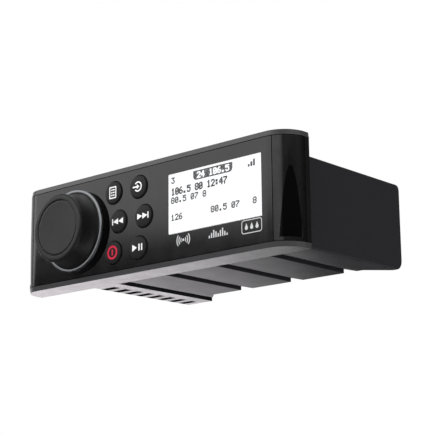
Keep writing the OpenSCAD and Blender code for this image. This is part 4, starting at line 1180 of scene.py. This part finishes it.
for screwNode, screwSet in screwSets.items():
    heads = []
    for low, high in islandBoxes(screwNode):
        middle = [(a + b) / 2 for a, b in zip(low, high)]
        middle[screwSet["axis"]] = high[screwSet["axis"]] - screw["sink"]
        heads.append(middle)
    screws = stampAt(camelName(screwNode), heads, screwMesh(screw), finishes["steel"], screwSet["turn"])
    standFor(screws, screwNode)
print("stage: screws driven")


# Contacts inside the rear sockets: in columns and rows, or round a circle
sockets = {
    "harness": {"node": "harness_socket", "columns": 8, "rows": 2, "pitch": (2.5, 4.2), "width": 0.9},
    "lineOut": {"node": "line_out_socket", "columns": 4, "rows": 2, "pitch": (2.5, 4.2), "width": 0.9},
    "network": {"node": "network_socket", "circle": 2.6, "count": 5, "width": 1.0},
    "tunerPort": {"node": "tuner_port", "circle": 2.3, "count": 7, "width": 0.8},
}
contact = {"length": 8.5, "floorDepth": 14.0, "sink": 0.3, "tipShare": 0.5, "tipLength": 0.8}


def socketFloor(node):
    return spanOf(node)[1].y - contact["floorDepth"] - contact["sink"]


def contactSpots(settings):
    if "circle" in settings:
        return arcPoints((0, 0), settings["circle"], 90, -270, settings["count"])[:-1]
    columns, rows = settings["columns"], settings["rows"]
    stepU, stepV = settings["pitch"]
    return [((i - (columns - 1) / 2) * stepU, (j - (rows - 1) / 2) * stepV)
            for i in range(columns) for j in range(rows)]


def pinMesh(width, length):
    # Square pin along +Y with a chamfered tip, whose sizes are shares of the width
    bm = bmesh.new()
    half = width / 2
    tipStart = length - width * contact["tipLength"]
    rings = []
    for size, y in ((half, 0), (half, tipStart), (half * contact["tipShare"], length)):
        rings.append([bm.verts.new((u * size * mm, y * mm, v * size * mm)) for u, v in squareCorners])
    return closedMesh(bm, rings, "pin", sharpAngle=20)


for socketName, settings in sockets.items():
    socketX, socketZ = centreOf(settings["node"])
    floorY = socketFloor(settings["node"])
    points = [(socketX + u, floorY, socketZ + v) for u, v in contactSpots(settings)]
    pin = pinMesh(settings["width"], contact["length"])
    rideOn(stampAt(socketName + "Contacts", points, pin, finishes["brass"]), "chassis")

aerial = {
    "insulator": 3.6, "insulatorDepth": 9.0, "footRound": 0.1, "topRound": 0.3, "insulatorSegments": 64,
    "tube": 1.2, "tubeBore": 0.7, "tubeDepth": 4.0, "tubeSink": 0.2, "tipLength": 0.3, "tipInset": 0.15,
    "boreFloor": 0.4, "tubeSegments": 48,
}
aerialAxis = centreOf("aerial_socket")
aerialFloor = socketFloor("aerial_socket")
aerialTop = spanOf("aerial_socket")[1].y
insulatorTop = aerialTop - aerial["insulatorDepth"]
insulatorOutline = roundedProfile(
    box2d(0, aerial["insulator"], aerialFloor, insulatorTop),
    [0, aerial["footRound"], aerial["topRound"], 0])
insulatorPiece = turnedPiece(
    "aerialInsulator", insulatorOutline, aerialAxis, aerial["insulatorSegments"], finishes["white_plastic"])
rideOn(insulatorPiece, "chassis")
tubeFoot = insulatorTop - aerial["tubeSink"]
tubeTop = aerialTop - aerial["tubeDepth"]
boreFloor = insulatorTop + aerial["boreFloor"]
tubeOutline = [
    (0, tubeFoot), (aerial["tube"], tubeFoot), (aerial["tube"], tubeTop - aerial["tipLength"]),
    (aerial["tube"] - aerial["tipInset"], tubeTop), (aerial["tubeBore"], tubeTop),
    (aerial["tubeBore"], boreFloor), (0, boreFloor),
]
tubePiece = turnedPiece("aerialContact", tubeOutline, aerialAxis, aerial["tubeSegments"], finishes["brass"])
rideOn(tubePiece, "chassis")
print("stage: socket contacts set")


# Every other solid keeps its form and gets its finish
shownNodes = 0
for nodeName, node in frame["nodes"].items():
    if node.hide_render:
        continue
    for materialSlot in node.material_slots:
        materialSlot.material = finishes[slotOf[nodeName]]
    shownNodes += 1
print("stage:", shownNodes, "solids finished as they are")
